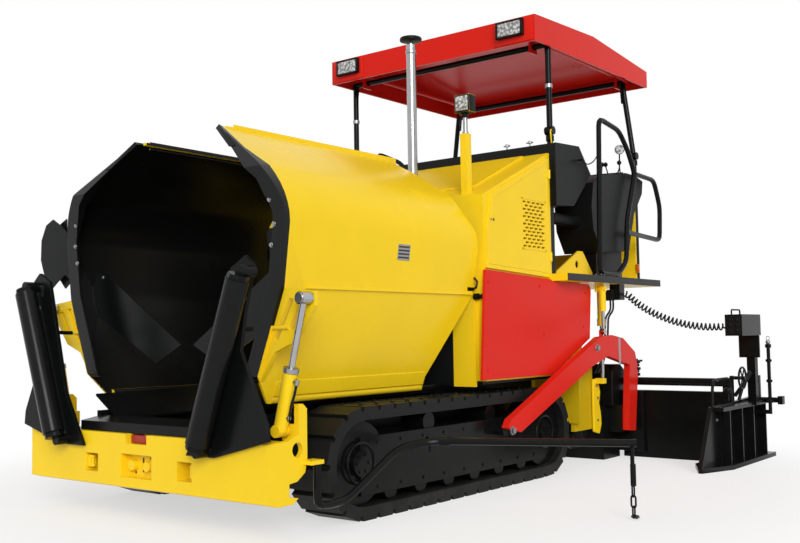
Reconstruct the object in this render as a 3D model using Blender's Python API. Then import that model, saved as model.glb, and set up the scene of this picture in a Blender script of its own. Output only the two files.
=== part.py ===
"""Tracked asphalt paver with folded hopper wings, an operator platform under a folding
roof, and a screed with sliding extensions. Metres, +Z up, +X to the machine's left, +Y to
its rear. The origin is on the ground, on the centre plane, under the push beam's face."""

import math

import bmesh
import bpy
from mathutils import Matrix, Vector

# Clearances and the overlap of welded members
FIT = 0.0003
WELD = 0.004
OVERRUN = 0.05
RUNNING = 0.006

# Push beam across the front
BODY_HALF = 0.95
BEAM_DEPTH = 0.15
BEAM_BOTTOM = 0.162
BEAM_NOSE = 0.021
BEAM_NOSE_DEPTH = 0.074
BEAM_TOP = 0.455
CHEEK_THICKNESS = 0.03
CHEEK_LENGTH = 0.271
CHEEK_HEIGHT = 0.464
CHEEK_HOLE_RADIUS = 0.036
POCKET_X = 0.378
POCKET_WIDTH = 0.11
POCKET_HEIGHT = 0.095
POCKET_Z = 0.292
POCKET_DEPTH = 0.09
CENTRE_POCKET_WIDTH = 0.25
CENTRE_POCKET_HEIGHT = 0.12
CENTRE_POCKET_DEPTH = 0.05
NOTCH_WIDTH = 0.17
NOTCH_HEIGHT = 0.05
HITCH_BOSS_RADIUS = 0.026
HITCH_BOSS_X = 0.06

# Folding push arms and their rollers
ARM_INSET = 0.29
ARM_PIVOT_X = BODY_HALF - ARM_INSET
ARM_PIVOT_Z = 0.48
ARM_BOSS_RADIUS = 0.032
ARM_PLATE = 0.02
ARM_HEIGHT = 0.885
ARM_FOOT = 0.44
ROLLER_Y = 0.095
ROLLER_RADIUS = 0.058
ROLLER_LOW_SHIFT = 0.075
ROLLER_LOW_X = ARM_PIVOT_X - ROLLER_LOW_SHIFT
ROLLER_LOW_Z = 0.44
ROLLER_HIGH_SHIFT = 0.212
ROLLER_HIGH_X = ARM_PIVOT_X + ROLLER_HIGH_SHIFT
ROLLER_HIGH_Z = 1.215
SPINDLE_RADIUS = 0.015
ROLLER_CAP = 0.02
ROLLER_CAP_RADIUS = 0.05
ROLLER_STUB_RADIUS = 0.03

# Hopper wings
WING_INSET = 0.305
WING_HINGE_X = BODY_HALF - WING_INSET
WING_HINGE_Z = 0.632
WING_HINGE_RADIUS = 0.022
WING_SHEET = 0.014
WING_FOOT_Z = 0.612
WING_CREASE_OUT = 0.217
WING_CREASE_X = WING_HINGE_X + WING_CREASE_OUT
WING_CREASE_Z = 1.18
WING_WIDEST_OUT = 0.26
WING_WIDEST_X = WING_HINGE_X + WING_WIDEST_OUT
WING_WIDEST_Z = 1.50
WING_SHOULDER_OUT = 0.12
WING_SHOULDER_X = WING_HINGE_X + WING_SHOULDER_OUT
WING_SHOULDER_Z = 1.79
WING_LIP_IN = 0.30
WING_LIP_X = WING_HINGE_X - WING_LIP_IN
WING_LIP_Z = 2.055
WING_FRONT = 0.19
WING_REAR = 1.85
WING_FLANGE = 0.09
WING_LIP_DEPTH = 0.035
CREASE_STEP = 0.012
CREASE_BAR = 0.022
FLAP_Y = 0.335
FLAP_PLATE = 0.008
BRACKET_Y = 0.21
BRACKET_PLATE = 0.025
BRACKET_HEIGHT = 0.4544
BRACKET_BAR_RADIUS = 0.012

# Wing cylinders
WING_ROD_PROUD = 0.085
WING_ROD_X = BODY_HALF + WING_ROD_PROUD
WING_ROD_Z = 1.125
WING_BASE_INSET = 0.08
WING_BASE_X = BODY_HALF - WING_BASE_INSET
WING_BASE_Z = 0.50
WING_RAM_Y = 0.17
WING_BARREL_RADIUS = 0.034
WING_BARREL_LENGTH = 0.30
WING_ROD_RADIUS = 0.016
RAM_EYE_RADIUS = 0.03
RAM_EYE_HALF = 0.035
RAM_PIN_RADIUS = 0.018
ROD_ENGAGED = 0.03

# Chassis, conveyor and hopper bottom
SIDE_MEMBER_INSET = 0.43
SIDE_MEMBER_IN = BODY_HALF - SIDE_MEMBER_INSET
SIDE_MEMBER_PLATE = 0.025
SIDE_MEMBER_LOW = 0.30
SIDE_MEMBER_TOP = 0.55
TUNNEL_TOP = 0.60
CHASSIS_REAR = 3.12
BULKHEAD = 0.02
CHASSIS_DECK_Z = 0.655
DECK_PLATE = 0.02
DECK_INSET = 0.05
DECK_HALF = BODY_HALF - DECK_INSET
CONVEYOR_GAP = 0.12
CONVEYOR_HALF = SIDE_MEMBER_IN - CONVEYOR_GAP
CONVEYOR_FRONT = 0.345
CONVEYOR_REAR = 3.16
CONVEYOR_BED_Z = 0.435
CONVEYOR_BELT = 0.012
CONVEYOR_SLAT = 0.02
CONVEYOR_SLAT_WIDTH = 0.03
CONVEYOR_PITCH = 0.13
CONVEYOR_INNER_RADIUS = 0.0252
FLOOR_PLATE = 0.012
FLOOR_GAP = 0.025
FLOOR_INNER_X = CONVEYOR_HALF + FLOOR_GAP
FLOOR_INNER_Z = 0.50
COLUMN_INSET = 0.10
COLUMN_X = BODY_HALF - COLUMN_INSET
COLUMN_PLATE = 0.03
COLUMN_LOW = 0.24
COLUMN_TOP = 0.68
COLUMN_REAR = 3.40
CROSS_TUBE_RADIUS = 0.05
CROSS_TUBE_Z = 0.33

# Tracks
TRACK_INSET = 0.02
TRACK_OUT = BODY_HALF - TRACK_INSET
TRACK_WIDTH = 0.28
TRACK_IN = TRACK_OUT - TRACK_WIDTH
TRACK_FRONT_Y = 0.72
TRACK_REAR_Y = 2.60
TRACK_RADIUS = 0.29
TRACK_PAD = 0.025
TRACK_CHAIN = 0.045
TRACK_PADS = 41
TRACK_PAD_SHARE = 0.86
FRAME_GAP = 0.01
FRAME_IN = TRACK_IN + FRAME_GAP
FRAME_INSET = 0.03
FRAME_OUT = TRACK_OUT - FRAME_INSET
FRAME_LOW = 0.12
FRAME_TOP = 0.42
WHEEL_INNER_GAP = 0.06
WHEEL_IN = FRAME_IN + WHEEL_INNER_GAP
WHEEL_OUTER_GAP = 0.02
WHEEL_OUT = FRAME_OUT - WHEEL_OUTER_GAP
ROLLER_WHEEL_RADIUS = 0.055
ROLLER_WHEELS = 6
HUB_RADIUS = 0.07
HUB_PROUD = 0.03

# Body with the engine
BODY_INSET = 0.02
BODY_OUT = BODY_HALF - BODY_INSET
BODY_SHEET = 0.012
BODY_FRONT = 1.87
BODY_LOW_TOP = 1.2897
BODY_LOW_REAR = 3.0997
HOOD_FRONT_Z = 1.80
HOOD_REAR_Z = 2.16
HOOD_SLOPE_END = 2.68
HOOD_REAR = 2.70
DOOR_PLATE = 0.018
DOOR_FRONT = 1.875
DOOR_REAR = 2.65
DOOR_LOW_FRONT_Z = 1.345
DOOR_LOW_REAR_Z = 1.311
DOOR_CORNER_Y = 1.945
DOOR_TOP_BELOW_HOOD = 0.025
DOOR_SHOULDER_Z = 1.57
DOOR_LAND = 0.045
HINGE_PROUD = 0.022
HINGE_OUT = BODY_OUT + HINGE_PROUD
HINGE_Y = 2.655
HINGE_RADIUS = 0.009
HINGE_LENGTH = 0.06
HINGE_LOW_Z = 1.42
HINGE_HIGH_Z = 1.98
GRILLE_FRONT = 2.31
GRILLE_LOW = 1.50
GRILLE_ROWS = 13
GRILLE_COLUMNS = 5
SLOT_LENGTH = 0.044
SLOT_HEIGHT = 0.012
SLOT_STEP_Y = 0.058
SLOT_STEP_Z = 0.024
LID_INSET = 0.17
LID_HALF = BODY_OUT - LID_INSET
LID_FRONT = 2.035
LID_REAR = 2.64
LID_PLATE = 0.015
ENGINE_HALF = 0.35
ENGINE_FRONT = 1.98
ENGINE_REAR = 2.58
ENGINE_HEIGHT = 0.78
PANEL_LOW = 0.665
PANEL_FRONT = 1.80
PANEL_REAR = 3.224

# Exhaust and lamp post
EXHAUST_X = 0.35
STACK_Y = 1.93
EXHAUST_RADIUS = 0.032
EXHAUST_TOP = 2.85
EXHAUST_FOOT = 1.74
EXHAUST_CAP_RADIUS = 0.07
EXHAUST_CAP_GAP = 0.03
EXHAUST_CAP = 0.015
LAMP_INSET = 0.18
LAMP_X = BODY_HALF - LAMP_INSET
LAMP_POST_HALF = 0.025
LAMP_POST_TOP = 2.20
LAMP_ROD_RADIUS = 0.012
LAMP_ROD_TOP = 2.335
LAMP_SIZE = 0.11
LAMP_DEPTH = 0.07

# Operator platform
PLATFORM_PROUD = 0.10
PLATFORM_HALF = BODY_HALF + PLATFORM_PROUD
PLATFORM_FRONT = 2.7003
PLATFORM_REAR = 4.21
PLATFORM_LOW = 1.29
PLATFORM_TOP = 1.34
DASH_INSET = 0.07
DASH_HALF = PLATFORM_HALF - DASH_INSET
DASH_FRONT = 2.7003
DASH_DEPTH = 0.51
DASH_LOW = 1.80
DASH_HEIGHT = 0.45
CONSOLE_OUT = PLATFORM_HALF - DASH_INSET
CONSOLE_WIDTH = 0.30
CONSOLE_IN = CONSOLE_OUT - CONSOLE_WIDTH
CONSOLE_FRONT = 3.21
CONSOLE_LENGTH = 0.88
CONSOLE_LOW = 1.52
CONSOLE_HEIGHT = 0.63
PEDESTAL_INSET = 0.05
PEDESTAL_FRONT = 3.36
PEDESTAL_REAR = 3.78
STEER_TUBE_RADIUS = 0.042
STEER_TUBE_Z = 1.74
STEER_TUBE_INSET = 0.14
STEER_TUBE_X = CONSOLE_OUT - STEER_TUBE_INSET
GUARD_INSET = 0.15
GUARD_HALF = PLATFORM_HALF - GUARD_INSET
GUARD_Y = 4.10
GUARD_SHEET = 0.015
GUARD_TOP = 2.0
GUARD_LOW_TOP = 1.58
GUARD_STILE = 0.055
FOOT_RAIL_Y = 2.83
FOOT_RAIL_DEPTH = 0.52
FOOT_RAIL_HEIGHT = 0.185
FOOT_RAIL_PLATE = 0.012
FOOT_RAIL_HOLE = 0.028
SEAT_X = 0.0
SEAT_HALF = 0.24
SEAT_FRONT = 3.42
SEAT_REAR = 3.92
SEAT_BASE_TOP = 1.72
SEAT_CUSHION = 0.12
SEAT_BACK_TOP = 2.22
SEAT_BACK_DEPTH = 0.11
RAIL_INSET = 0.02
RAIL_X = PLATFORM_HALF - RAIL_INSET
RAIL_RADIUS = 0.019
RAIL_FRONT = 3.21
RAIL_DEPTH = 1.08
RAIL_HEIGHT = 1.12

# Folding roof
ROOF_INSET = 0.13
ROOF_HALF = PLATFORM_HALF - ROOF_INSET
ROOF_SHEET = 0.014
ROOF_FRONT = 2.57
ROOF_LENGTH = 1.80
ROOF_LOW = 2.92
ROOF_HEIGHT = 0.22
POST_INSET = 0.04
POST_X = ROOF_HALF - POST_INSET
POST_RADIUS = 0.021
POST_PIVOT_Z = 2.34
POST_TOP_Z = 2.95
POST_FRONT_Y = 2.81
POST_REAR_Y = 4.16
POST_REAR_INSET = 0.12
POST_REAR_TOP_X = ROOF_HALF - POST_REAR_INSET
ROOF_RAIL_INSET = 0.16
ROOF_RAIL_X = ROOF_HALF - ROOF_RAIL_INSET
ROOF_RAIL_RADIUS = 0.018
ROOF_RAIL_Z = 3.005
ROOF_LAMP_INSET = 0.08
ROOF_LAMP_WIDTH = 0.21
ROOF_LAMP_LOW = 2.968
ROOF_LAMP_HEIGHT = 0.115
ROOF_LAMP_DEPTH = 0.035
ROOF_LUG = 0.016
ROOF_LUG_HALF = 0.045
POST_BASE_RADIUS = 0.03
POST_GUSSET = 0.036
POST_GUSSET_DROP = 0.17
POST_GUSSET_PLATE = 0.01

# Tow arms, lift cylinders and screed
TOW_PIVOT_Y = 2.0
TOW_PIVOT_Z = 0.35
TOW_PIN_RADIUS = 0.03
TOW_GAP = 0.025
TOW_IN = BODY_HALF + TOW_GAP
TOW_PLATE = 0.05
TOW_OUT = TOW_IN + TOW_PLATE
TOW_FRONT = 1.953
TOW_LENGTH = 1.854
TOW_LOW = 0.207
TOW_HEIGHT = 0.711
LIFT_Y = 3.3
LIFT_LOW_Z = 0.945
LIFT_TOP_Z = 1.25
LIFT_EYE_RADIUS = 0.022
LIFT_BARREL_RADIUS = 0.024
LIFT_BARREL_LENGTH = 0.16
LIFT_ROD_RADIUS = 0.013
LIFT_ENGAGED = 0.02
LIFT_LUG = 0.0097
SPINDLE_STACK_RADIUS = 0.024
SPINDLE_STACK_LOW = 0.62
SPINDLE_STACK_HEIGHT = 0.10
SCREED_GAP = 0.115
SCREED_HALF = TOW_IN - SCREED_GAP
SCREED_FRONT = 3.53
SCREED_REAR = 3.80
SCREED_TOP = 0.40
EXTENSION_GAP = 0.02
EXTENSION_IN = SCREED_HALF + EXTENSION_GAP
EXTENSION_WIDTH = 0.82
EXTENSION_OUT = EXTENSION_IN + EXTENSION_WIDTH
EXTENSION_FRONT = 3.83
EXTENSION_DEPTH = 0.37
EXTENSION_HEIGHT = 0.50
GUIDE_Y = 3.87
GUIDE_Z = 0.565
GUIDE_RADIUS = 0.03
GUIDE_HELD = 0.20
GUIDE_IN = SCREED_HALF - GUIDE_HELD
HOUSING_PROUD = 0.09
HOUSING_OUT = SCREED_HALF + HOUSING_PROUD
HOUSING_RADIUS = 0.048
GATE_PLATE = 0.03
GATE_FRONT = 3.20
GATE_LENGTH = 1.20
GATE_HEIGHT = 0.45
GATE_SHOE = 0.03
GATE_FLANGE = 0.07
GATE_RIB = 0.012
MAST_GAP = 0.09
MAST_X = EXTENSION_OUT + MAST_GAP
MAST_HALF = 0.03
MAST_SETBACK = 0.32
MAST_Y = GATE_FRONT + GATE_LENGTH - MAST_SETBACK
MAST_TOP = 0.92
BOX_GAP = 0.04
BOX_IN = EXTENSION_OUT + BOX_GAP
BOX_WIDTH = 0.20
BOX_LENGTH = 0.39
BOX_FRONT = MAST_Y - BOX_LENGTH
BOX_LOW = 0.90
BOX_HEIGHT = 0.15
CRANK_GAP = 0.15
CRANK_X = EXTENSION_OUT + CRANK_GAP
CRANK_SETBACK = 0.14
CRANK_Y = GATE_FRONT + GATE_LENGTH - CRANK_SETBACK
CRANK_LOW = 0.32
CRANK_TOP = 0.81
CRANK_RADIUS = 0.013
CRANK_BALL_RADIUS = 0.022
HANDLE_RADIUS = 0.011
HANDLE_FRONT = 3.46
HANDLE_LENGTH = 0.38
HANDLE_TOP = 0.60
SIDE_LUG = 0.03
SIDE_LUG_TOP = 0.60

# Augers
AUGER_Y = 3.33
AUGER_Z = 0.25
AUGER_IN = 0.05
AUGER_END_GAP = 0.06
AUGER_OUT = SCREED_HALF - AUGER_END_GAP
AUGER_SHAFT_RADIUS = 0.03
AUGER_RADIUS = 0.155
AUGER_PITCH = 0.25
AUGER_FLIGHT = 0.014
AUGER_STEPS = 14

# Guide bar with its chain
BAR_PROUD = 0.035
BAR_PIVOT_X = BODY_HALF + BAR_PROUD
BAR_PIVOT_Y = 0.30
BAR_PIVOT_Z = 0.34
BAR_RADIUS = 0.02
BAR_LUG = 0.02
BAR_END_X = 2.07
BAR_END_Y = 1.48
BAR_END_Z = 0.385
BAR_COLLAR_RADIUS = 0.028
BAR_COLLAR = 0.05
CHAIN_ROD_RADIUS = 0.011
CHAIN_ROD_LOW = 0.17
CHAIN_WIRE = 0.005
CHAIN_LINK = 0.058
CHAIN_LINK_HALF = 0.012
CHAIN_LINKS = 3

# Curly cord between tractor and control box
CORD_RADIUS = 0.028
GLAND_HALF = 0.04
GLAND_Y = 3.56
GLAND_Z = 1.215
GLAND_X = RAIL_X
CORD_END_SETBACK = 0.03
CORD_END_Y = BOX_FRONT + CORD_END_SETBACK
CORD_END_Z = 0.965

FINE_SIDES = 24
ROUND_SIDES = 16
SMALL_SIDES = 10
BEND_STEPS = 5

# Outlines as shares of each piece's own length and height, walked round once
cheek_shares = (
    (0.0, 0.045), (0.273, 0.0), (0.646, 0.004), (0.768, 0.056), (0.546, 0.08), (0.546, 0.21),
    (0.74, 0.222), (0.94, 0.3), (1.0, 0.43), (1.0, 0.948), (0.9, 1.0), (0.79, 1.0),
    (0.79, 0.7), (0.52, 0.64), (0.0, 0.631))
arm_shares = (
    (-0.27, -0.07), (-0.04, -0.07), (0.37, 0.035), (0.36, 0.12), (0.17, 0.5), (0.205, 0.71),
    (0.272, 0.95), (0.21, 1.0), (0.1, 0.94), (-0.08, 0.25))
wing_side_shares = (
    (0.07, 0.0), (0.0, 0.1), (0.0, 0.66), (-0.03, 0.812), (0.052, 1.02), (0.875, 1.02),
    (0.94, 0.93), (0.945, 0.74), (0.99, 0.66), (1.0, 0.58), (0.995, 0.4), (0.837, 0.06),
    (0.837, 0.0))
flap_shares = (
    (0.058, 0.251), (0.3, 0.164), (0.969, 0.414), (1.002, 0.542), (0.928, 0.648))
bracket_shares = (
    (0.0, 0.0), (0.444, 1.0), (1.0, 0.95), (1.0, 0.8), (0.643, 0.428), (0.3, 0.318), (0.035, 0.0))
bracket_slot_shares = (
    ((0.563, 0.89), (0.648, 0.879), (0.357, 0.439), (0.286, 0.461)),
    ((0.762, 0.857), (0.841, 0.842), (0.63, 0.549), (0.55, 0.571)))
foot_rail_shares = (
    (0.0, 0.0), (1.0, 0.0), (1.0, 0.2), (0.73, 1.0), (0.6, 1.0), (0.0, 0.15))
tow_arm_shares = (
    (0.0, 0.231), (0.08, 0.179), (0.607, 0.702), (0.734, 0.79), (0.926, 0.684), (0.905, 0.22),
    (0.899, 0.014), (0.94, 0.0), (0.963, 0.0), (1.0, 0.644), (0.976, 0.816), (0.87, 0.966),
    (0.773, 1.0), (0.672, 0.983), (0.02, 0.3))
panel_shares = (
    (0.039, 1.0), (0.0, 0.0), (0.604, 0.0), (0.976, 0.35), (1.0, 0.86), (0.983, 0.925),
    (0.62, 0.928), (0.6, 0.949))
dash_shares = (
    (0.0, 0.0), (0.48, 0.04), (1.0, 0.6), (0.67, 1.0), (0.02, 0.96), (0.0, 0.9))
console_shares = (
    (0.0, 0.52), (0.045, 0.79), (0.18, 0.9), (0.65, 1.0), (0.84, 1.0), (1.0, 0.95),
    (0.98, 0.79), (0.8, 0.51), (0.68, 0.05), (0.15, 0.0), (0.023, 0.25))
roof_shares = (
    (0.0, 0.0), (0.0, 0.82), (0.478, 1.0), (1.0, 0.64), (1.0, 0.045))
extension_shares = (
    (0.0, 0.0), (1.0, 0.0), (1.0, 0.44), (0.6, 0.6), (0.14, 0.6), (0.14, 1.0), (0.0, 1.0))
gate_shares = (
    (0.05, 0.0), (1.0, 0.0), (0.967, 1.0), (0.183, 0.93), (0.0, 0.06))
rail_shares = (
    (0.0, 0.0), (0.046, 1.0), (0.343, 0.964), (0.472, 0.857), (0.583, 0.7), (0.435, 0.37),
    (0.407, 0.09), (0.27, 0.0))
rear_loop_shares = (
    (0.583, 0.7), (0.907, 0.69), (1.0, 0.51), (0.98, 0.268), (0.425, 0.29))
cord_shares = (
    (0.0, 0.0, 0.0), (0.056, 0.0, 0.0), (0.169, 0.125, 0.32), (0.31, 0.28, 0.58),
    (0.479, 0.5, 0.8), (0.648, 0.69, 0.94), (0.803, 0.875, 1.0), (0.944, 1.0, 1.0),
    (1.0, 1.0, 1.0))
bar_route_shares = (
    (0.0, 0.0, 0.0), (0.0, 0.0, -0.5), (0.0, 0.06, -0.53), (0.005, 0.17, -0.52),
    (0.015, 0.31, -0.28), (0.035, 0.49, 0.05), (0.11, 0.64, 0.11), (1.0, 1.0, 0.115))


def clear_scene():
    for item in list(bpy.data.objects):
        bpy.data.objects.remove(item, do_unlink=True)


def look(name, colour, roughness, metallic=0.0):
    """A plain surface of one colour."""
    surface = bpy.data.materials.new(name)
    surface.use_nodes = True
    shader = surface.node_tree.nodes["Principled BSDF"]
    shader.inputs["Base Color"].default_value = (*colour, 1.0)
    shader.inputs["Roughness"].default_value = roughness
    shader.inputs["Metallic"].default_value = metallic
    surface.diffuse_color = (*colour, 1.0)
    return surface


def solid(form):
    """Turn a closed bmesh into an object, its faces pointing out."""
    bmesh.ops.recalc_face_normals(form, faces=form.faces)
    mesh = bpy.data.meshes.new("form")
    form.to_mesh(mesh)
    form.free()
    item = bpy.data.objects.new("form", mesh)
    bpy.context.scene.collection.objects.link(item)
    return item


def placed(axis, across, first, second):
    """A point from its place across an axis and its two other places, in X, Y, Z order."""
    if axis == "x":
        return Vector((across, first, second))
    if axis == "y":
        return Vector((first, across, second))
    return Vector((first, second, across))


def prism(axis, outline, low, high):
    """An outline in the plane across an axis, carried from one place along it to another."""
    form = bmesh.new()
    ends = [[form.verts.new(placed(axis, across, *point)) for point in outline]
            for across in (low, high)]
    form.faces.new(ends[0])
    form.faces.new(ends[1])
    count = len(outline)
    for index in range(count):
        after = (index + 1) % count
        form.faces.new((ends[0][index], ends[0][after], ends[1][after], ends[1][index]))
    return solid(form)


def block(low, high):
    corners = ((low[0], low[1]), (high[0], low[1]), (high[0], high[1]), (low[0], high[1]))
    return prism("z", corners, low[2], high[2])


def frames_along(points):
    """A square pair of directions at each point of a path, turned as little as can be."""
    tangents = []
    for index in range(len(points)):
        before = points[max(index - 1, 0)]
        after = points[min(index + 1, len(points) - 1)]
        tangents.append((after - before).normalized())
    side = tangents[0].orthogonal().normalized()
    frames = []
    for tangent in tangents:
        side = (side - tangent * side.dot(tangent)).normalized()
        frames.append((side, tangent.cross(side)))
    return frames


def tube(route, radius, sides=SMALL_SIDES, closed=False):
    """A round bar along a path of points."""
    points = [Vector(point) for point in route]
    form = bmesh.new()
    if closed:
        count = len(points)
        flat = (points[1] - points[0]).cross(points[count // 2] - points[0]).normalized()
        frames = []
        for index in range(count):
            tangent = (points[(index + 1) % count] - points[index - 1]).normalized()
            frames.append((flat, tangent.cross(flat).normalized()))
    else:
        frames = frames_along(points)
    rings = []
    for point, (first, second) in zip(points, frames):
        turn = [math.tau * step / sides for step in range(sides)]
        rings.append([form.verts.new(point + (first * math.cos(a) + second * math.sin(a)) * radius)
                      for a in turn])
    spans = len(rings) if closed else len(rings) - 1
    for index in range(spans):
        near = rings[index]
        far = rings[(index + 1) % len(rings)]
        for step in range(sides):
            after = (step + 1) % sides
            form.faces.new((near[step], near[after], far[after], far[step]))
    if not closed:
        form.faces.new(rings[0])
        form.faces.new(rings[-1])
    return solid(form)


def rod(start, end, radius, sides=ROUND_SIDES):
    return tube((start, end), radius, sides)


def rounded(points, radius, steps=3, closed=False):
    """A path with its corners turned into short arcs."""
    path = [Vector(point) for point in points]
    count = len(path)
    result = []
    for index, corner in enumerate(path):
        if not closed and index in (0, count - 1):
            result.append(corner)
            continue
        before = path[index - 1]
        after = path[(index + 1) % count]
        reach = min(radius, (before - corner).length * 0.45, (after - corner).length * 0.45)
        start = corner + (before - corner).normalized() * reach
        end = corner + (after - corner).normalized() * reach
        for step in range(steps + 1):
            share = step / steps
            result.append(start.lerp(corner, share).lerp(corner.lerp(end, share), share))
    return result


def inset(outline, distance):
    """An outline moved inwards by one distance all the way round."""
    count = len(outline)
    area = sum(outline[i][0] * outline[(i + 1) % count][1]
               - outline[(i + 1) % count][0] * outline[i][1] for i in range(count))
    way = 1.0 if area > 0 else -1.0
    result = []
    for index in range(count):
        here = Vector(outline[index])
        back = (here - Vector(outline[index - 1])).normalized()
        ahead = (Vector(outline[(index + 1) % count]) - here).normalized()
        normal_back = Vector((-back.y, back.x)) * way
        normal_ahead = Vector((-ahead.y, ahead.x)) * way
        bisector = (normal_back + normal_ahead).normalized()
        result.append(tuple(here + bisector * (distance / bisector.dot(normal_ahead))))
    return result


def scaled(shares, origin, size):
    """Points of a share table, set at an origin and stretched to a size."""
    return [tuple(start + share * span for start, share, span in zip(origin, row, size))
            for row in shares]


def fuse(name, surface, pieces, cuts=(), origin=(0.0, 0.0, 0.0), kept_inside=None):
    """Weld pieces into one body, cut it, and set its origin."""
    body = pieces[0]
    steps = [("UNION", pieces[1:]), ("DIFFERENCE", list(cuts))]
    groups = []
    for operation, others in steps:
        if not others:
            continue
        group = bpy.data.collections.new(name + operation)
        for other in others:
            group.objects.link(other)
        cutter = body.modifiers.new(operation, "BOOLEAN")
        cutter.operation = operation
        cutter.operand_type = "COLLECTION"
        cutter.collection = group
        cutter.solver = "EXACT"
        groups.append(group)
    if kept_inside is not None:
        keeper = body.modifiers.new("INTERSECT", "BOOLEAN")
        keeper.operation = "INTERSECT"
        keeper.object = kept_inside
        keeper.solver = "EXACT"
    bpy.context.view_layer.update()
    evaluated = body.evaluated_get(bpy.context.evaluated_depsgraph_get())
    mesh = bpy.data.meshes.new_from_object(evaluated)
    mesh.transform(Matrix.Translation(-Vector(origin)))
    mesh.materials.clear()
    mesh.materials.append(surface)
    mesh.shade_smooth()
    mesh.set_sharp_from_angle(angle=math.radians(30))
    mesh.name = name
    item = bpy.data.objects.new(name, mesh)
    item.location = origin
    bpy.context.scene.collection.objects.link(item)
    for used in [*pieces, *cuts, kept_inside]:
        if used is not None:
            bpy.data.objects.remove(used, do_unlink=True)
    for group in groups:
        bpy.data.collections.remove(group)
    return item


def welded(*pieces, cuts=(), kept_inside=None):
    """Weld pieces into a part of a larger body."""
    return fuse("form", bpy.data.materials["black_paint"], list(pieces), cuts,
                kept_inside=kept_inside)


def make_looks():
    look("yellow_paint", (0.83, 0.50, 0.02), 0.35)
    look("red_paint", (0.72, 0.03, 0.02), 0.35)
    look("black_paint", (0.015, 0.015, 0.017), 0.3)
    look("dark_steel", (0.06, 0.06, 0.065), 0.5, 0.8)
    look("chrome", (0.75, 0.76, 0.78), 0.12, 1.0)
    look("rubber", (0.02, 0.02, 0.02), 0.75)
    look("black_plastic", (0.02, 0.02, 0.022), 0.45)
    look("seat_cloth", (0.03, 0.03, 0.035), 0.9)


def paint(name):
    return bpy.data.materials[name]


def push_beam():
    """The box beam with its two cheeks, pockets, hitch bosses and pivot bosses."""
    inner = BODY_HALF - CHEEK_THICKNESS / 2
    section = ((0.0, BEAM_BOTTOM + BEAM_NOSE), (BEAM_NOSE_DEPTH, BEAM_BOTTOM),
               (BEAM_DEPTH, BEAM_BOTTOM), (BEAM_DEPTH, BEAM_TOP), (0.0, BEAM_TOP))
    pieces = [prism("x", section, -inner, inner)]
    cheek = scaled(cheek_shares, (0.0, BEAM_BOTTOM), (CHEEK_LENGTH, CHEEK_HEIGHT))
    hole_y = CHEEK_LENGTH * 0.757
    hole_z = BEAM_BOTTOM + CHEEK_HEIGHT * 0.539
    cuts = [rod((-BODY_HALF - OVERRUN, hole_y, hole_z), (BODY_HALF + OVERRUN, hole_y, hole_z),
                CHEEK_HOLE_RADIUS)]
    for side in (1, -1):
        pieces.append(prism("x", cheek, side * (BODY_HALF - CHEEK_THICKNESS), side * BODY_HALF))
        pieces.append(rod((side * ARM_PIVOT_X, 0.0, ARM_PIVOT_Z),
                          (side * ARM_PIVOT_X, BEAM_DEPTH / 2, ARM_PIVOT_Z), ARM_BOSS_RADIUS))
        pieces.append(ram_lug(side))
        middle = side * POCKET_X
        cuts.append(block((middle - POCKET_WIDTH / 2, -OVERRUN, POCKET_Z - POCKET_HEIGHT / 2),
                          (middle + POCKET_WIDTH / 2, POCKET_DEPTH, POCKET_Z + POCKET_HEIGHT / 2)))
    cuts.append(block((-CENTRE_POCKET_WIDTH / 2, -OVERRUN, POCKET_Z - CENTRE_POCKET_HEIGHT / 2),
                      (CENTRE_POCKET_WIDTH / 2, CENTRE_POCKET_DEPTH,
                       POCKET_Z + CENTRE_POCKET_HEIGHT / 2)))
    cuts.append(block((-NOTCH_WIDTH / 2, -OVERRUN, BEAM_TOP - NOTCH_HEIGHT),
                      (NOTCH_WIDTH / 2, POCKET_DEPTH, BEAM_TOP + OVERRUN)))
    body = welded(*pieces, cuts=cuts)
    bosses = [rod((side * HITCH_BOSS_X, CENTRE_POCKET_DEPTH + WELD, POCKET_Z),
                  (side * HITCH_BOSS_X, CENTRE_POCKET_DEPTH / 3, POCKET_Z), HITCH_BOSS_RADIUS)
              for side in (1, -1)]
    lug = block((BODY_HALF - CHEEK_THICKNESS / 2, CHEEK_LENGTH - CHEEK_THICKNESS, BAR_PIVOT_Z),
                (BAR_PIVOT_X + BAR_LUG * 1.2, BAR_PIVOT_Y + BAR_LUG * 1.2, BAR_PIVOT_Z + BAR_LUG))
    return fuse("push_beam", paint("yellow_paint"), [body, *bosses, lug])


def ram_lug(side):
    """The lug behind a wing cylinder's foot, with its pin boss."""
    back = WING_RAM_Y + RAM_EYE_HALF + WELD * 2
    plate = block((side * (WING_BASE_X - RAM_EYE_RADIUS), back, BEAM_TOP - WELD),
                  (side * (BODY_HALF - CHEEK_THICKNESS / 2), back + BRACKET_PLATE,
                   WING_BASE_Z + RAM_EYE_RADIUS))
    pin = rod((side * WING_BASE_X, WING_RAM_Y + RAM_EYE_HALF + FIT, WING_BASE_Z),
              (side * WING_BASE_X, back + WELD, WING_BASE_Z), RAM_PIN_RADIUS)
    return welded(plate, pin)


def roller_ends(side):
    low = Vector((side * ROLLER_LOW_X, -ROLLER_Y, ROLLER_LOW_Z))
    high = Vector((side * ROLLER_HIGH_X, -ROLLER_Y, ROLLER_HIGH_Z))
    return low, high, (high - low).normalized()


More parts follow.
